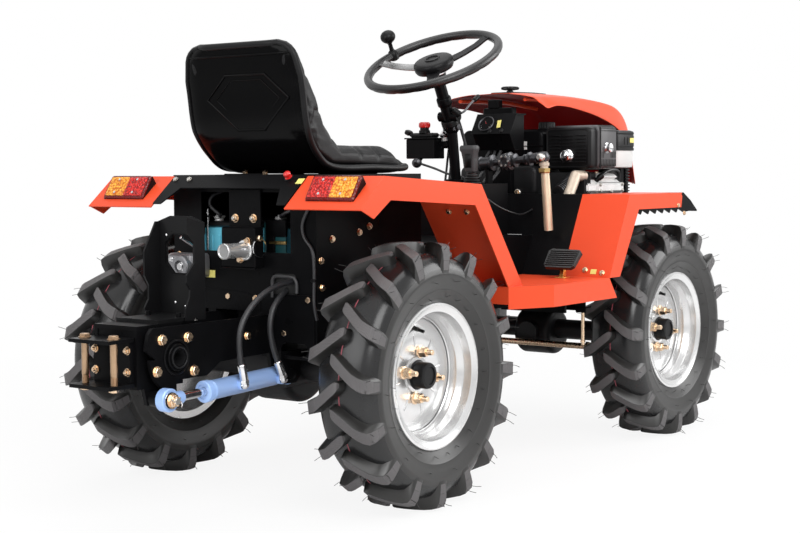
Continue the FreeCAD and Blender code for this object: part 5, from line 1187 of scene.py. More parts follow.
def make_control_box():
    """Hand control box with its stop button and cable."""
    shape = Shape()
    shape.box(at(698, 40, 816), at(752, 138, 872), "black_paint", 2)
    shape.box(at(694, 36, 872), at(756, 142, 876), "black_paint", 1)
    shape.box(at(704, 52, 876), at(746, 126, 890), "black_plastic", 4)
    button = at(718, 86, 889)
    shape.lathe([(16, 0), (16, 8), (13, 9), (13, 16)], button, UP, "black_plastic", 28)
    shape.lathe([(11, 14), (16, 17), (17, 22), (16.5, 28), (13, 31.5), (0, 32)], button, UP, "red_plastic",
                32)
    shape.box(at(700, 128, 884), at(722, 146, 898), "black_plastic", 3, Matrix.Rotation(0.4, 3, "X"))
    shape.rod(at(711, 118, 876), at(711, 136, 890), 5, "black_plastic", 12, 1)
    shape.lathe([(12, 0), (14, 4), (14, 12), (10, 16), (6, 18), (6, 22), (0, 22)], at(697, 96, 806),
                (-0.8, -0.3, -0.2), "dark_steel", 24)
    shape.rod(at(716, 96, 820), at(700, 95, 808), 6, "black_plastic", 12, 1)
    shape.lathe([(12, 0), (12, 10), (9, 12), (9, 20), (13, 22), (13, 28), (8, 30), (0, 30)],
                at(745, 30, 862), (-0.3, 0.1, 0.9), "alloy", 20)
    shape.lathe([(8, 0), (8, 14), (10, 15), (10, 20), (0, 21)], at(742, 22, 880), (-0.7, 0.5, 0.3),
                "bright_steel", 18)
    shape.rod(at(752, 34, 845), at(752, 34, 905), 5, "dark_steel", 14, 1)
    shape.rod(at(735, 42, 850), at(765, 12, 858), 7, "dark_steel", 14, 1)
    shape.box(at(728, 14, 850), at(742, 42, 866), "black_paint", 1)
    cable = [at(697, 90, 803), at(716, 50, 788), at(742, 20, 772), at(760, -18, 762), at(762, -30, 746)]
    shape.tube(smooth_path(cable, 8), 3.2, "hose_rubber", 8)
    box = shape.finish("hand_control_box", "tractor")
    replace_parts(box, "control_box")


def make_levers():
    """Gear lever, brake pedal and the fittings of the steering column."""
    shape = Shape()
    x, y = 652, -122
    bellows = [(24, 0), (27, 2), (27, 4)]
    for k in range(4):
        bellows += [(22 - k * 2.4, 6 + k * 7), (25 - k * 3, 9.5 + k * 7)]
    bellows += [(10, 34), (9, 38), (0, 38)]
    shape.lathe(bellows, at(x, y, 745), UP, "soft_black", 28)
    shape.rod(at(x, y, 770), at(x, y + 4, 800), 8, "dark_steel", 14)
    grip = ((779, 12, 16, 3), (786, 13, 19, 4), (812, 13, 21, 6), (832, 14, 24, 8), (838, 15, 28, 9),
            (846, 15, 28, 9), (851, 12, 25, 9))
    rings = []
    for z, deep, wide, shift in grip:
        rings.append([at(x + deep * squared(c, 0.55), y + shift + wide * squared(s, 0.55), z)
                      for c, s in round_circle(24)])
    shape.loft(rings, "grey_rubber")
    shape.box(at(x - 15.5, y - 6, 790), at(x - 12, y + 16, 828), "black_plastic", 1.5)
    lever = shape.finish("gear_stick", "tractor", 50)
    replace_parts(lever, "gear_lever")
    pedal = Shape()
    along = Vector((0.695, 0, 0.719)) * MM
    out = Vector((-0.719, 0, 0.695)) * MM
    foot = at(679, 0, 517)
    across = LEFT * MM

    def place(s, y, lift):
        return foot + along * s + across * y + out * lift

    outline = [(0, -420), (8, -428), (56, -432), (64, -424), (66, -338), (58, -330), (10, -334), (0, -342)]
    pedal.loft([[place(s, y, lift) for s, y in outline] for lift in (-3, 7)], "soft_black")
    for k in range(8):
        s = 7 + k * 7
        pedal.loft([[place(a, b, lift) for a, b in ((s, -424), (s + 3, -424), (s + 3, -338), (s, -338))]
                    for lift in (6.5, 9.5)], "soft_black")
    arm = [(694, 492.5), (710, 492.5), (712, 512), (722, 540), (712, 546), (700, 520)]
    pedal.loft([[at(px, py, pz) for px, pz in arm] for py in (-386, -374)], "pedal_gold")
    pedal.box(at(684, -396, 492), at(718, -364, 495), "pedal_gold", 1)
    piece = pedal.finish("brake_pedal_pad", "tractor", bevel=0.8)
    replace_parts(piece, "brake_pedal")
    column = Shape()

    def down(distance, side=0.0, ahead=0.0):
        spot = Vector(WHEEL_CENTRE) - COLUMN * distance + ACROSS * ahead
        return at(spot.x, side, spot.z)

    column.lathe([(19, 0), (21, 3), (21, 22), (18, 26)], down(110), -COLUMN, "black_paint", 28)
    column.lathe([(24, 0), (26, 4), (26, 16), (22, 20)], down(178), -COLUMN, "black_plastic", 28)
    for side in (-1, 1):
        column.rod(down(203, side * 10), down(203, side * 26), 9, "dark_steel", 18, 1)
        column.box(down(196, side * 17, -12) - Vector((3, 3, 12)) * MM,
                   down(196, side * 17, -12) + Vector((12, 3, 14)) * MM, "dark_steel", 2)
    column.rod(down(150, -22), down(166, -40), 10, "black_plastic", 18, 2)
    column.tube(smooth_path([down(165, -24), at(773, -12, 949), at(815, -10, 975), at(848, -10, 994)], 6),
                3.2, "dark_steel", 8)
    column.lathe([(4, 0), (7, 3), (7, 26), (5, 30), (0, 31)], at(828, -10, 982), Vector((0.85, 0, 0.5)),
                 "black_plastic", 16)
    for k, (y, spread) in enumerate(((-14, -34), (16, 30), (24, 44))):
        points = [down(150, y, 14), down(215, y, 22), at(770, spread, 800), at(758, spread, 745)]
        column.tube(smooth_path(points, 8), 4.5 - k * 0.6, "hose_rubber", 8)
    column.finish("column_fittings", "tractor")


# ---- lift cylinder and hitch
BARREL_PIN, ROD_PIN, CYLINDER_Y = Vector((-130, 0, 306)), Vector((-521, 0, 291)), -110
CYLINDER_LINE = (ROD_PIN - BARREL_PIN).normalized()
CYLINDER_LENGTH = (ROD_PIN - BARREL_PIN).length


def on_cylinder(distance, y=CYLINDER_Y):
    """A place on the axis of the lift cylinder, counted from its front pin."""
    spot = BARREL_PIN + CYLINDER_LINE * distance
    return at(spot.x, y, spot.z)


def eye_ring(shape, place, radius, hole, width, material):
    """A ring across Y with eased edges, for the eyes of the cylinder."""
    half = width / 2
    profile = [(hole, -half), (radius - 2, -half), (radius, -half + 2), (radius, half - 2),
               (radius - 2, half), (hole, half), (hole, -half)]
    shape.lathe(profile, place, (0, 1, 0), material, 48)


def make_cylinder():
    """Lift cylinder: barrel with two ports and ferrules, and the rod with its eye."""
    shape = Shape()
    barrel = ((0, 15), (13, 16), (14, 18), (14, 33), (20, 36), (22, 40), (22, 252), (22.6, 253),
              (22.6, 256), (22, 257), (22, 262), (25, 264), (25, 278), (23, 280), (17, 280.5), (16, 278),
              (10.5, 277), (10.5, 84), (0, 84))
    shape.lathe(barrel, on_cylinder(0), CYLINDER_LINE, "blue_paint", 56)
    eye_ring(shape, on_cylinder(0), 26, 10.4, 24, "blue_paint")
    for route in (REAR_HOSE, FRONT_HOSE):
        first, second = (Vector(place) for place in route[:2])
        rise = (second - first).normalized()
        elbow = first - rise * 45
        place = at(*elbow)
        shape.lathe([(13, 0), (13, 9), (11, 10)], at(elbow.x, CYLINDER_Y - 17, elbow.z), RIGHT,
                    "blue_paint", 28)
        shape.hexagon(at(elbow.x, CYLINDER_Y - 23, elbow.z), RIGHT, 19, 8, "bright_steel", 0.4)
        shape.rod(at(elbow.x, CYLINDER_Y - 29, elbow.z), place, 7.5, "bright_steel", 20)
        shape.lathe([(0, -9.5), (5, -8.5), (8.5, -4), (9.4, 0), (8.5, 4), (7, 7)], place, rise,
                    "bright_steel", 24)
        shape.lathe([(6, 2), (6, 10), (9, 11), (10, 13), (10, 47), (9, 49), (7.2, 50)], place, rise,
                    "bright_steel", 32)
        shape.hexagon(place + rise * 4 * MM, rise, 18, 8, "bright_steel", 0.2)
    barrel = shape.finish("lift_cylinder_tube", "lift_barrel", 35)
    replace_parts(barrel, "cylinder_barrel")
    shape = Shape()
    length = CYLINDER_LENGTH
    shape.lathe([(0, 118), (9, 118), (10, 119), (10, length - 46)], on_cylinder(0), CYLINDER_LINE, "chrome",
                40)
    shape.lathe([(10, length - 46), (13, length - 45), (14.5, length - 42), (14.5, length - 20)],
                on_cylinder(0), CYLINDER_LINE, "blue_paint", 40)
    eye_ring(shape, on_cylinder(length), 26, 14, 24, "blue_paint")
    eye_ring(shape, on_cylinder(length), 19, 14, 25.4, "bright_steel")
    rod = shape.finish("lift_cylinder_rod", "lift_rod", 35)
    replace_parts(rod, "cylinder_rod")


def make_hitch_details():
    """Bolts and collars of the hitch plates, and the pins and nuts of the coupler."""
    shape = Shape()
    for side in (-1, 1):
        out = Vector((0, side, 0))
        for x, z in ((-515, 420), (-435, 419), (-531, 352), (-417, 343)):
            shape.bolt(at(x, side * 90, z), out, 11, "gold_zinc")
        shape.lathe([(40, 0), (40, 2.5), (37, 4), (34, 3), (33, 0)], at(-471, side * 90, 378), out,
                    "black_paint", 48)
        shape.lathe([(30, 0), (30, 6), (28.5, 7.5), (24, 7.5)], at(-471, side * 90, 378), out,
                    "black_paint", 48)
        shape.lathe([(24.5, 10), (24.5, 12.6), (22, 13), (20, 11), (18, 11), (17, 8), (17, -20)],
                    at(-471, side * 90, 378), out, "cast_metal", 48)
        shape.bolt(at(-240, side * 90, 404), out, 9, "gold_zinc")
    plate = [at(x, -124, z) for x, z in ((-166, 361), (-166, 300), (-150, 284), (-112, 284), (-95, 300),
                                         (-95, 361))]
    shape.plate(plate, Vector((0, -5, 0)) * MM, "black_paint")
    shape.lathe([(14, 0), (14, 3), (9, 4), (0, 4)], at(-130, -129, 306), RIGHT, "black_paint", 28)
    shape.finish("hitch_bolts", "tractor")
    shape = Shape()
    for y in (-45, 45):
        bottom = at(-613, y, 312)
        thread = [(6, 0)]
        for k in range(14):
            thread += [(7.9, 1 + k * 2.4), (6.9, 2.2 + k * 2.4)]
        thread += [(8, 36), (8, 115)]
        shape.lathe(thread, bottom, UP, "pin_brown", 24)
        shape.lathe([(14, 0), (14, 2.2), (8, 2.2)], bottom + UP * 115.2 * MM, UP, "pin_brown", 28)
        shape.hexagon(bottom + UP * 117.2 * MM, UP, 21, 6.8, "pin_brown")
        shape.hexagon(bottom + UP * 1.6 * MM, UP, 21, 6, "gold_zinc", 0.5)
    pins = shape.finish("hitch_pins", "coupler")
    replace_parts(pins, "coupler_pins")
    shape = Shape()
    for y in (-50, 50):
        for z in (353, 400):
            shape.bolt(at(-578, y, z), BACK, 8, "gold_zinc", "gold_zinc")
    pin = at(-521, -126, 291)
    shape.lathe([(17, 0), (17, 2.5), (9, 2.5)], pin, RIGHT, "gold_zinc", 32)
    shape.hexagon(pin + RIGHT * 2.5 * MM, RIGHT, 25, 8, "gold_zinc", 0.2)
    for c, s in round_circle(6, 0.72):
        spot = pin + Vector((c * 8.4, 0, s * 8.4)) * MM + RIGHT * 12 * MM
        shape.rod(spot, spot + RIGHT * 5 * MM, 3.0, "gold_zinc", 8, 0.6)
    shape.rod(pin, pin + RIGHT * 18 * MM, 8, "steel", 20, 1)
    shape.tube([pin + RIGHT * 15 * MM + Vector((dx, 0, dz)) * MM
                for dx, dz in ((-16, 5), (-11, 2), (12, -2), (15, -9), (13, -15))], 1.4, "bright_steel", 8)
    for y, z in ((-40, 473), (-26, 489), (-14, 478), (18, 486), (44, 640), (-52, 655)):
        shape.lathe([(3.5, 0), (3.2, 1.4), (1.5, 2.2), (0, 2.4)], at(-362, y, z), BACK, "bright_steel", 12)
    ring = [at(-363, y, z) for y, z in ((-46, 577), (-18, 552), (22, 552), (46, 577), (46, 624), (22, 643),
                                        (-18, 643), (-46, 624))]
    shape.tube(ring + ring[:1], 1.6, "black_paint", 6, caps=False)
    for side in (-1, 1):
        shape.bolt(at(-388, side * 66, 452), (0, 0, 1), 7, "steel")
        shape.rod(at(-420, side * 48, 452), at(-420, side * 48, 470), 6, "black_paint", 16, 1)
    shape.finish("coupler_fittings", "coupler")


def make_drive_casting():
    """The cast output of the gearbox behind the tower, with its bolts and its shaft guard."""
    shape = Shape()
    outline = ((-214, 118), (-214, 190), (-200, 212), (-153, 216), (-153, 108), (-196, 108))
    rings = []
    for z, shrink in ((528, 0.86), (533, 0.97), (540, 1.0), (571, 1.0), (581, 0.95), (586, 0.82)):
        rings.append([at(-153 + (x + 153) * shrink, 146 + (y - 146) * shrink, z) for x, y in outline])
    shape.loft(rings, "cast_grey")
    shape.lathe([(26, 0), (27, 3), (27, 18), (24, 21), (15, 21), (15, 12), (0, 12)], at(-206, 140, 556),
                BACK, "cast_grey", 40)
    shape.bolt(at(-218, 140, 556), BACK, 10, "bright_steel")
    for y, z in ((178, 546), (178, 572), (200, 560)):
        shape.bolt(at(-214 if y < 190 else -206, y, z), BACK, 5.5, "bright_steel")
    shape.rod(at(-160, 150, 600), at(-200, 160, 626), 4, "bright_steel", 14, 1)
    shape.finish("drive_casting", "tractor", 30, 1.2)


def make_lift_valve():
    """Valve bracket behind the tower with its bright socket."""
    shape = Shape()
    shape.box(at(-186, -68, 556), at(-152, 39, 653), "black_paint", 3)
    shape.boxes("black_paint", 1, (-190, -72, 553, -184, 42, 557), (-158, -62, 648, -152, 38, 742))
    for y in (16, -42):
        shape.bolt(at(-158, y, 673), BACK, 9, "gold_zinc", "steel")
    place = at(-186, -38, 599)
    shape.lathe([(24, 0), (24, 4), (22, 6), (19.5, 6.5), (18.5, 9), (17.6, 20), (17.6, 64), (18.8, 66),
                 (18.8, 74), (17.5, 76), (15.5, 76), (14.5, 73.5), (0, 73.5)], place, BACK, "satin_alloy",
                56)
    for turn in (118, 298):
        spoke = Vector((0, math.cos(math.radians(turn)), math.sin(math.radians(turn))))
        across = Vector((0, -spoke.z, spoke.y))
        ear = [place + (spoke * r + across * w) * MM
               for r, w in ((12, 17), (26, 9), (32, 5), (33, 0), (32, -5), (26, -9), (12, -17))]
        shape.plate(ear, BACK * 5 * MM, "gold_zinc")
        shape.hexagon(place + spoke * 26 * MM + BACK * 5 * MM, BACK, 11, 6, "gold_zinc", 0.4)
    shape.lathe([(23, 0), (23, 3), (20, 3)], at(-170, -68, 604), RIGHT, "bright_steel", 32)
    shape.hexagon(at(-170, -68, 627), RIGHT, 13, 7, "gold_zinc", 0.4)
    valve = shape.finish("lift_valve_box", "tractor")
    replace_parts(valve, "lift_valve")


def make_battery():
    """Battery with its covers, clamp rod, terminals and leads, and a dark teal plate in front of its right
    part as painted shade.
    """
    shape = Shape()
    top = corners("battery")[1].z / MM - 15
    x0, x1, y0, y1 = -116, 34, -105, 165
    base = top - 165
    shape.box(at(x0 + 2, y0 + 2, base), at(x1 - 2, y1 - 2, top - 14), "battery_case", 4)
    for x in range(-96, 30, 24):
        for y in (y0, y1):
            shape.box(at(x, y - 1.5, base + 20), at(x + 8, y + 1.5, top - 30), "battery_case", 1)
    for y in range(-84, 160, 27):
        shape.box(at(x0 - 0.5, y, base + 16), at(x0 + 4, y + 9, top - 34), "battery_case", 1)
    shape.box(at(x0, y0, top - 15), at(x1, y1, top), "black_plastic", 4)
    shape.box(at(x0 + 40, y0 + 20, top), at(x1 - 16, y1 - 20, top + 4), "black_plastic", 2)
    shape.box(at(x0 - 3, y0 - 3, base), at(x1 + 1, y1 + 3, base + 12), "black_paint", 1)
    for y in (-70, 130):
        shape.lathe([(11, 0), (11, 4), (8, 5), (7, 17), (0, 17.5)], at(-94, y, top), UP, "alloy", 24)
        shape.box(at(-106, y - 9, top + 5), at(-80, y + 9, top + 13), "alloy", 2)
    y = 143
    shape.rod(at(-121, y, base + 4), at(-121, y, top + 30), 3.2, "bright_steel", 14)
    shape.bolt(at(-121, y, top + 18), UP, 5, "bright_steel")
    shape.boxes("black_paint", 1, (-127, y - 10, top + 10, -60, y + 10, top + 14),
                (-126, -76, base - 8, -117, -50, top + 6), (-126, -112, top - 34, -118, -50, top + 6))
    shape.box(at(-127, -112, top - 52), at(-119, -60, top - 44), "brass", 1)
    # Thin dark teal plate in front of the battery's right part: painted shade.
    shape.box(at(-120, -108, base - 4), at(-115, -40, top), "battery_teal_painted_shade", 1)
    lead = [at(-94, 130, top + 10), at(-112, 112, top + 16), at(-122, 134, top + 40), at(-112, 128, 728),
            at(-60, 100, 748)]
    shape.tube(smooth_path(lead, 8), 4.5, "hose_rubber", 10)
    lead = [at(-94, -70, top + 10), at(-112, -92, top + 18), at(-100, -120, top + 30),
            at(-40, -150, top + 30)]
    shape.tube(smooth_path(lead, 8), 4.5, "hose_rubber", 10)
    battery = shape.finish("battery_case", "tractor")
    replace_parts(battery, "battery")


# ---- bolts, labels and edging on the sheet metal
def ringed_plate(shape, outline, centre, half_w, half_h, x, thickness, material):
    """A plate across X with an oval hole: outline and hole are skinned point by point."""
    count = 48
    cy, cz = centre
    outer, inner = [], []
    y0, y1, z0, z1 = outline
    for i in range(count):
        turn = 2 * math.pi * (i + 0.5) / count
        c, s = math.cos(turn), math.sin(turn)
        reach = min(abs(((y1 if c > 0 else y0) - cy) / c) if abs(c) > 1e-6 else 1e9,
                    abs(((z1 if s > 0 else z0) - cz) / s) if abs(s) > 1e-6 else 1e9)
        outer.append((cy + c * reach, cz + s * reach))
        flat = half_w - half_h
        inner.append((cy + (flat if c > 0 else -flat) + half_h * c, cz + half_h * s))
    rings = [[at(px, y, z) for y, z in ring]
             for px, ring in ((x, outer), (x - thickness, outer), (x - thickness, inner), (x, inner))]
    shape.loft(rings, material, caps=False, joined=True)


def make_panel_details():
    """Bolts, blank labels, edging and cable clips of the body panels."""
    shape = Shape()
    for y, z in ((47, 484), (-40, 482), (-42, 392), (-130, 404), (-204, 486), (210, 580)):
        shape.bolt(at(-152, y, z), BACK, 7.5, "gold_zinc")
    for side, out in ((-1, RIGHT), (1, LEFT)):
        for x, z in ((-136, 577), (-133, 514), (-95, 626), (8, 638), (47, 651)):
            shape.bolt(at(x, side * 228, z), out, 7.5, "gold_zinc")
        for x, z in ((1171, 678), (1210, 654)):
            shape.bolt(at(x, side * 490, z), out, 5.5, "gold_zinc")
        for y in (304, 358):
            shape.bolt(at(275, side * y, 681.5), (-0.81, 0, -0.59), 7, "gold_zinc")
        for x, y, z in ((769, 464, 504), (772, 410, 510)):
            shape.bolt(at(x, side * y, z), (-0.89, 0, 0.45), 7, "gold_zinc")
        label = at(770, side * 437, 506.5)
        slope = Vector((0.45, 0, 0.89))
        sheet = [label + LEFT * a * MM + slope * b * MM for a, b in ((-9, -7), (9, -7), (9, 7), (-9, 7))]
        shape.plate(sheet, Vector((-0.89, 0, 0.45)) * 0.6 * MM, "yellow_label")
        bottom = at(866, side * 350, 292)
        shape.rod(bottom, at(866, side * 350, 396), 5, "gold_zinc", 16, 1)
        shape.bolt(at(866, side * 350, 300), (0, 0, 1), 7, "gold_zinc")
        shape.boxes("black_paint", 1, (852, side * 350 - 16, 396, 884, side * 350 + 16, 402),
                    (852, side * 350 - 16, 384, 855, side * 350 + 16, 488))
    shape.box(at(-153.2, 91, 527), at(-151.8, 125, 545), "yellow_label", 0.3)
    ringed_plate(shape, (-222, -58, 344, 496), (-160, 367), 41, 16, -152, 2.2, "black_paint")
    shape.loft([[at(x, y, z) for y, z in ((222, 503), (136, 502), (-8, 496), (-56, 480), (-56, 452),
                                          (222, 452))] for x in (-152, -153.6)], "black_paint")
    edge = [at(-156, y, z) for y, z in ((-96, 488), (-96, 522), (-99, 533), (-108, 538), (-156, 537),
                                        (-166, 532), (-171, 521), (-171, 500))]
    shape.tube(smooth_path(edge, 6), 4.2, "grey_rubber", 12)
    # Near-black box behind the rubber edging: painted shade in the opening.
    shape.box(at(-150, -169, 489), at(-146, -91, 546), "dial_black_and_hole_shade", 1)
    cable = [at(-140, -212, 742), at(-154, -215, 712), at(-157, -192, 665), at(-157, -196, 632),
             at(-157, -219, 603), at(-157, -225, 560), at(-157, -224, 500), at(-157, -225, 470),
             at(-150, -226, 440)]
    shape.tube(smooth_path(cable, 8), 4, "hose_rubber", 10)
    shape.box(at(-162, -229, 528), at(-152, -217, 536), "black_plastic", 1.5)
    for z in (700, 640, 560):
        shape.box(at(-152, 214, z), at(-148, 222, z + 14), "black_paint", 1)
    shape.finish("panel_bolts_and_edging", "tractor")
    shape = Shape()
    normal = Vector((-0.64, 0, 0.77))
    knob = at(-170, -163, 769)
    shape.lathe([(9, 0), (9, 3), (6, 4), (6, 7), (8, 8), (9, 12), (8, 15), (5, 17), (0, 17.5)], knob,
                normal, "red_plastic", 28)
    shape.lathe([(12, -1), (12, 1.5), (9, 2)], knob, normal, "black_plastic", 28)
    slope = Vector((0.77, 0, 0.64))
    sheet = [at(-180, -205, 761) + LEFT * a * MM + slope * b * MM
             for a, b in ((-9, -9), (9, -9), (9, 9), (-9, 9))]
    shape.plate(sheet, normal * 1.0 * MM, "yellow_label")
    for y in (150, 196):
        shape.bolt(at(-176, y, 765), normal, 6, "steel")
    for y in (101, 35):
        shape.bolt(at(-28, y, 780), (-1, 0, -0.2), 6.5, "gold_zinc")
    for x in (-150, 254):
        shape.box(at(x, -60, 770), at(x + 6, 60, 779), "black_paint", 1)
    shape.finish("seat_box_fittings", "tractor")


def make_front_details():
    """Bolts of the front bumper, and the head lamps."""
    shape = Shape()
    for y in (-150, -60, 60, 150):
        for z in (404, 456):
            shape.bolt(at(1556, y, z), AHEAD, 6, "gold_zinc")
    shape.box(at(1555, -100, 424), at(1559, 100, 436), "black_plastic", 1)
    for side in (-1, 1):
        shape.hexagon(at(1505, side * 118, 716), (0, side, 0), 15, 6, "gold_zinc")
        for x in (1440, 1180, 1010):
            shape.bolt(at(x, side * 115, 430), (0, side, 0), 8, "gold_zinc")
    shape.finish("front_bolts", "tractor")
    for side, name in ((1, "left"), (-1, "right")):
        shape = Shape()
        lean = math.radians(9.5)
        out = Vector((math.cos(lean), 0, math.sin(lean)))
        z = 815
        x = 1501 + (903 - z) * 29 / 168
        place = at(x + 8, side * 92, z)
        shape.lathe([(43, -8), (43, 6), (41, 9), (37, 9), (35, 5), (34, 4)], place, out, "black_plastic",
                    56)
        shape.lathe([(36, 5.5), (33, 8), (22, 10.5), (10, 11.6), (0, 12)], place, out, "clear_lens", 56)
        shape.lathe([(35, 5), (28, 2.5), (15, 1), (0, 0.6)], place, out, "chrome", 56)
        shape.lathe([(34.5, -4), (28, -14), (17, -22), (9, -25), (0, -25)], place, out, "chrome", 56)
        shape.lathe([(6, 1), (6, 4), (4, 5.5), (0, 6)], place, out, "pale_plastic", 24)
        for k in range(-4, 5):
            shape.tube([place + out * 8.4 * MM + Vector((0, k * 6.5, d)) * MM
                        for d in (-24 + abs(k) * 3, 24 - abs(k) * 3)], 0.7, "clear_lens", 5)
        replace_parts(shape.finish("head_lamp_" + name, "hood", 30), "head_lamps")


# the pivots of the front steering: kingpins ahead and to each side, and the track rod's ends
KINGPIN_X, KINGPIN_Y, TIE_ROD_X = 1221, 300, 1096


def make_steering_details():
    """Nuts and grease caps on the kingpins and the track rod."""
    for side, name in ((1, "left"), (-1, "right")):
        shape = Shape()
        x, y = KINGPIN_X, side * KINGPIN_Y
        top = corners(name + "_knuckle")[1].z / MM
        shape.lathe([(17, 0), (17, 4), (12, 8), (0, 9)], at(x, y, top - 1), UP, "steel", 28)
        shape.rod(at(x, y, top + 7), at(x, y, top + 13), 3, "gold_zinc", 12, 0.6)
        shape.finish(name + "_kingpin_cap", name + "_knuckle")
    low, high = corners("tie_rod")
    shape = Shape()
    for side in (1, -1):
        place = at(TIE_ROD_X, side * KINGPIN_Y, high.z / MM)
        shape.hexagon(place - UP * 1 * MM, UP, 20, 9, "gold_zinc", 0.3)
        shape.rod(place + UP * 7 * MM, place + UP * 13 * MM, 5, "steel", 14, 1)
        shape.hexagon(at(TIE_ROD_X, side * 232, (low.z + high.z) / 2 / MM), (0, side, 0), 24, 10,
                      "gold_zinc")
    shape.finish("tie_rod_nuts", "tie_rod")


# ---- hoses: control points of their routes
REAR_HOSE = ((-315, -141, 345), (-329, -141, 400), (-305, -142, 460), (-245, -146, 507), (-185, -150, 524),
             (-126, -155, 530))
FRONT_HOSE = ((-190, -141, 340), (-213, -141, 387), (-219, -141, 438), (-192, -138, 487), (-134, -133, 514))


def make_hose(name, route, node, radius=7.0):
    """A hose along its route: a round curve through the route's points."""
    curve = bpy.data.curves.new(name, "CURVE")
    curve.dimensions = "3D"
    curve.bevel_depth = radius * MM
    curve.bevel_resolution = 5
    curve.resolution_u = 16
    curve.use_fill_caps = True
    spline = curve.splines.new("NURBS")
    spline.points.add(len(route) - 1)
    for point, place in zip(spline.points, route):
        point.co = (*at(*place), 1)
    spline.order_u = 3
    spline.use_endpoint_u = True
    hose = bpy.data.objects.new(name, curve)
    bpy.context.scene.collection.objects.link(hose)
    curve.materials.append(MATERIALS["hose_rubber"])
    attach(hose, "lift_barrel")
    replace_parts(hose, node)
    return hose


# ---- settings
def colour_setting(name, description, default):
    return bpy.props.FloatVectorProperty(name=name, description=description, subtype="COLOR", size=3,
                                         min=0.0, max=1.0, default=default)


class TRACTOR_PG_look(bpy.types.PropertyGroup):
    """Colours that the whole tractor shares."""
    body_colour: colour_setting("Body Colour", "Paint of the hood, fenders and footboards",
                                (0.72, 0.072, 0.024))
    frame_colour: colour_setting("Frame Colour", "Paint of the frame, hitch and seat box",
                                 (0.004, 0.004, 0.0045))
    cylinder_colour: colour_setting("Cylinder Colour", "Paint of the lift cylinder", (0.33, 0.5, 0.86))


class TRACTOR_PG_tyres(bpy.types.PropertyGroup):
    """Tread of the four tyres."""
    lugs: bpy.props.IntProperty(name="Lugs", description="Lugs on each side of a tyre", default=16, min=8,
                                max=30)
    hairs: bpy.props.BoolProperty(name="Hairs", description="Moulding whiskers of a new tyre", default=True)


class TRACTOR_PG_cushion(bpy.types.PropertyGroup):
    """Swelling of the seat cushion."""
    voxel: bpy.props.FloatProperty(name="Voxel", description="Size of the remesh in millimetres",
                                   default=6.0, min=3.0, max=15.0)
    pressure: bpy.props.FloatProperty(name="Pressure", description="Cloth pressure inside the cushion",
                                      default=4.0, min=0.0)
    swell: bpy.props.FloatProperty(name="Swell", description="Most that a point may move, in millimetres",
                                   default=9.0, min=0.0)


class TRACTOR_PG_view(bpy.types.PropertyGroup):
    """Camera."""
    lens: bpy.props.FloatProperty(name="Lens", description="Focal length", subtype="DISTANCE_CAMERA",
                                  default=68.75, min=10.0)


# ---- operators
CAMERA_PLACE = (-2861.3, -2472.3, 791.3)
CAMERA_TURNS = (36.503, -3.707, -0.334)  # yaw, pitch and roll in degrees
STUDIO_LAMPS = (
    # name, place, size in metres, power in watts
    ("key", (-1600, -2600, 2700), 2.6, 105), ("fill", (-3200, 600, 2000), 2.4, 42),
    ("top", (500, 0, 3400), 3.0, 42), ("rim", (2600, -2200, 1800), 2.0, 50),
)
LAMP_TARGET = (500, 0, 500)


class TRACTOR_OT_stage(bpy.types.Operator):
    """Make the floor, lamps, world and camera"""
    bl_idname = "tractor.stage"
    bl_label = "Stage"

    def execute(self, context):
        scene = context.scene
        data = bpy.data.cameras.new("Camera")
        data.lens = scene.tractor_view.lens
        data.sensor_width = 36.0
        data.clip_end = 50.0
        camera = bpy.data.objects.new("Camera", data)
        scene.collection.objects.link(camera)
        yaw, pitch, roll = (math.radians(angle) for angle in CAMERA_TURNS)
        forward = Vector((math.cos(yaw) * math.cos(pitch), math.sin(yaw) * math.cos(pitch),
                          math.sin(pitch)))
        right = Vector((math.sin(yaw), -math.cos(yaw), 0))
        up = right.cross(forward)
        turned_right = right * math.cos(roll) + up * math.sin(roll)
        turned_up = up * math.cos(roll) - right * math.sin(roll)
        basis = Matrix((turned_right, turned_up, -forward)).transposed().to_4x4()
        basis.translation = at(*CAMERA_PLACE)
        camera.matrix_world = basis
        scene.camera = camera
        make_floor()
        make_world(scene)
        for name, place, size, energy in STUDIO_LAMPS:
            light = bpy.data.lights.new(name, "AREA")
            light.shape = "DISK"
            light.size = size
            light.energy = energy
            lamp = bpy.data.objects.new(name, light)
            lamp.location = at(*place)
            aim = at(*LAMP_TARGET) - lamp.location
            lamp.rotation_euler = aim.to_track_quat("-Z", "Y").to_euler()
            scene.collection.objects.link(lamp)
        scene.view_settings.view_transform = "Standard"
        return {"FINISHED"}


def make_floor():
    """Pale floor that fades into the white surroundings."""
    tree, shader = new_material("floor_white")
    shader.inputs["Base Color"].default_value = (0.94, 0.94, 0.94, 1)
    shader.inputs["Roughness"].default_value = 0.6
    mesh = bpy.data.meshes.new("floor")
    far = 30.0
    mesh.from_pydata([(-far, -far, 0), (far, -far, 0), (far, far, 0), (-far, far, 0)], [], [(0, 1, 2, 3)])
    mesh.materials.append(MATERIALS["floor_white"])
    floor = bpy.data.objects.new("floor", mesh)
    bpy.context.scene.collection.objects.link(floor)
    glow = add_node(tree, "Emission", Strength=1.0)
    mix = add_node(tree, "MixShader")
    output = next(node for node in tree.nodes if node.type == "OUTPUT_MATERIAL")
    length = add_node(tree, "VectorMath", "LENGTH")
    fade = add_node(tree, "MapRange", From_Min=1.0, From_Max=3.0, To_Min=0.89, To_Max=1.0)
    seen = add_node(tree, "Math", "MULTIPLY")
    connect(tree, (add_node(tree, "NewGeometry").outputs["Position"], length.inputs[0]),
            (length.outputs["Value"], fade.inputs["Value"]), (fade.outputs["Result"], seen.inputs[0]),
            (add_node(tree, "LightPath").outputs["Is Camera Ray"], seen.inputs[1]),
            (seen.outputs[0], mix.inputs[0]), (shader.outputs[0], mix.inputs[1]),
            (glow.outputs[0], mix.inputs[2]), (mix.outputs[0], output.inputs["Surface"]))


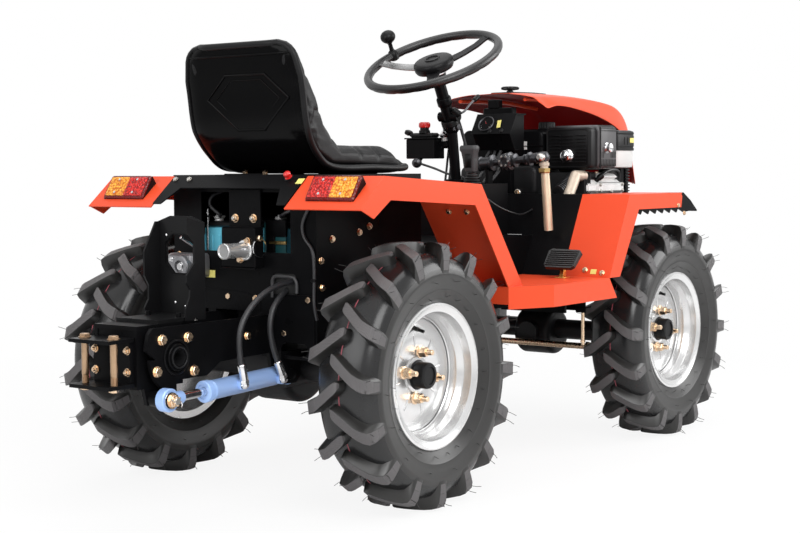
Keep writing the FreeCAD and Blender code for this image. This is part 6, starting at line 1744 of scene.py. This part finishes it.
def make_world(scene):
    """White surroundings, weaker where they light the scene."""
    world = bpy.data.worlds.new("World")
    world.use_nodes = True
    tree = world.node_tree
    background = next(node for node in tree.nodes if node.type == "BACKGROUND")
    background.inputs["Color"].default_value = (1, 1, 1, 1)
    rays = add_node(tree, "LightPath").outputs
    shine, clear = add_node(tree, "Math", "MAXIMUM"), add_node(tree, "Math", "MAXIMUM")
    strength = add_node(tree, "MapRange", To_Min=0.42, To_Max=1.0)
    connect(tree, (rays["Is Camera Ray"], shine.inputs[0]), (rays["Is Glossy Ray"], shine.inputs[1]),
            (shine.outputs[0], clear.inputs[0]), (rays["Is Transmission Ray"], clear.inputs[1]),
            (clear.outputs[0], strength.inputs["Value"]),
            (strength.outputs["Result"], background.inputs["Strength"]))
    scene.world = world


# material, then the carried-over nodes it goes on with the width of their rounded edges
CAD_FINISH = {
    "red_paint": {"rear_fenders": 0.8, "footboards": 0.8, "front_mudguards": 0.8},
    "black_paint": {"main_frame": 1.5, "seat_box": 0.8, "cross_bar": 0.8, "toothed_guards": 0.8,
                    "bulkhead": 0.8, "console": 1.0, "engine_deck": 0.8, "steering_column": 0.5,
                    "hitch_bracket": 1.2, "coupler": 1.2, "front_bumper": 1.0},
    "cast_metal": {"gearbox": 2.0, "front_axle": 2.0, "left_knuckle": 1.5, "right_knuckle": 1.5},
    "burnt_steel": {"exhaust_pipe": 0.0},
    "satin_black": {"coupler_tower": 0.8},
    "gold_zinc": {"tie_rod": 0.5},
}


class TRACTOR_OT_materials(bpy.types.Operator):
    """Make the materials and give the carried-over pieces theirs"""
    bl_idname = "tractor.materials"
    bl_label = "Materials"

    def execute(self, context):
        make_materials(context.scene.tractor_look)
        for material, nodes in CAD_FINISH.items():
            for node, bevel in nodes.items():
                paint_node(node, material, bevel)
        return {"FINISHED"}


class TRACTOR_OT_hoses(bpy.types.Operator):
    """Make the two hydraulic hoses"""
    bl_idname = "tractor.hoses"
    bl_label = "Hoses"

    def execute(self, context):
        make_hose("lift_hose_rear", REAR_HOSE, "rear_hose")
        make_hose("lift_hose_front", FRONT_HOSE, "front_hose")
        return {"FINISHED"}


class TRACTOR_OT_wheels(bpy.types.Operator):
    """Make the four tyres and rims"""
    bl_idname = "tractor.wheels"
    bl_label = "Wheels"

    def execute(self, context):
        settings = context.scene.tractor_tyres
        chance = random.Random(7)
        for end, side in wheel_names():
            stem = end + "_" + side
            body = stem + "_wheel"
            centre = middle(stem + "_tyre")
            tyre = make_tyre(stem + "_tread", centre, body, settings.lugs, chance, settings.hairs)
            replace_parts(tyre, stem + "_tyre")
            rim = make_rim(stem + "_disc", centre, 1 if side == "left" else -1, body)
            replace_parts(rim, stem + "_rim")
        return {"FINISHED"}


class TRACTOR_OT_seat(bpy.types.Operator):
    """Make the seat's shell and its padded cushion"""
    bl_idname = "tractor.seat"
    bl_label = "Seat"

    def execute(self, context):
        make_seat_shell()
        make_cushion(context.scene.tractor_cushion)
        return {"FINISHED"}


class TRACTOR_OT_steering(bpy.types.Operator):
    """Make the steering wheel"""
    bl_idname = "tractor.steering"
    bl_label = "Steering"

    def execute(self, context):
        make_steering_wheel()
        return {"FINISHED"}


class TRACTOR_OT_lamps(bpy.types.Operator):
    """Make the tail lamps"""
    bl_idname = "tractor.lamps"
    bl_label = "Lamps"

    def execute(self, context):
        make_tail_lamps()
        return {"FINISHED"}


class TRACTOR_OT_hood(bpy.types.Operator):
    """Make the hood and its trim"""
    bl_idname = "tractor.hood"
    bl_label = "Hood"

    def execute(self, context):
        make_hood()
        return {"FINISHED"}


class TRACTOR_OT_engine(bpy.types.Operator):
    """Make the engine, its air cleaner, tank and exhaust"""
    bl_idname = "tractor.engine"
    bl_label = "Engine"

    def execute(self, context):
        make_air_cleaner()
        make_canister()
        make_engine()
        make_tank()
        make_exhaust()
        return {"FINISHED"}


class TRACTOR_OT_controls(bpy.types.Operator):
    """Make the instrument box, the hand controls and the pedal"""
    bl_idname = "tractor.controls"
    bl_label = "Controls"

    def execute(self, context):
        make_instruments()
        make_control_box()
        make_levers()
        return {"FINISHED"}


class TRACTOR_OT_hitch(bpy.types.Operator):
    """Make the lift cylinder, the valve and the hitch fittings"""
    bl_idname = "tractor.hitch"
    bl_label = "Hitch"

    def execute(self, context):
        make_cylinder()
        make_hitch_details()
        make_drive_casting()
        make_lift_valve()
        return {"FINISHED"}


class TRACTOR_OT_details(bpy.types.Operator):
    """Make the battery, bolts, labels and edging"""
    bl_idname = "tractor.details"
    bl_label = "Bolts and Trim"

    def execute(self, context):
        make_battery()
        make_panel_details()
        make_front_details()
        make_steering_details()
        return {"FINISHED"}


class TRACTOR_PT_panel(bpy.types.Panel):
    """Lists the steps in the order they run"""
    bl_label = "Tractor"
    bl_idname = "TRACTOR_PT_panel"
    bl_space_type = "VIEW_3D"
    bl_region_type = "UI"
    bl_category = "Tractor"

    def draw(self, context):
        for operator in OPERATORS:
            self.layout.operator(operator.bl_idname)
        for name in SETTINGS:
            group = getattr(context.scene, name)
            box = self.layout.box()
            for key in group.__annotations__:
                box.prop(group, key)


OPERATORS = (TRACTOR_OT_stage, TRACTOR_OT_materials, TRACTOR_OT_hoses, TRACTOR_OT_wheels, TRACTOR_OT_seat,
             TRACTOR_OT_steering, TRACTOR_OT_lamps, TRACTOR_OT_hood, TRACTOR_OT_engine, TRACTOR_OT_controls,
             TRACTOR_OT_hitch, TRACTOR_OT_details)
SETTINGS = {"tractor_look": TRACTOR_PG_look, "tractor_tyres": TRACTOR_PG_tyres,
            "tractor_cushion": TRACTOR_PG_cushion, "tractor_view": TRACTOR_PG_view}


def register():
    for item in (*SETTINGS.values(), *OPERATORS, TRACTOR_PT_panel):
        bpy.utils.register_class(item)
    for name, group in SETTINGS.items():
        setattr(bpy.types.Scene, name, bpy.props.PointerProperty(type=group))


def unregister():
    for name in SETTINGS:
        delattr(bpy.types.Scene, name)
    for item in (TRACTOR_PT_panel, *reversed(OPERATORS), *reversed(list(SETTINGS.values()))):
        bpy.utils.unregister_class(item)


def main():
    register()
    for operator in OPERATORS:
        group, name = operator.bl_idname.split(".")
        getattr(getattr(bpy.ops, group), name)()


if __name__ == "__main__":
    main()
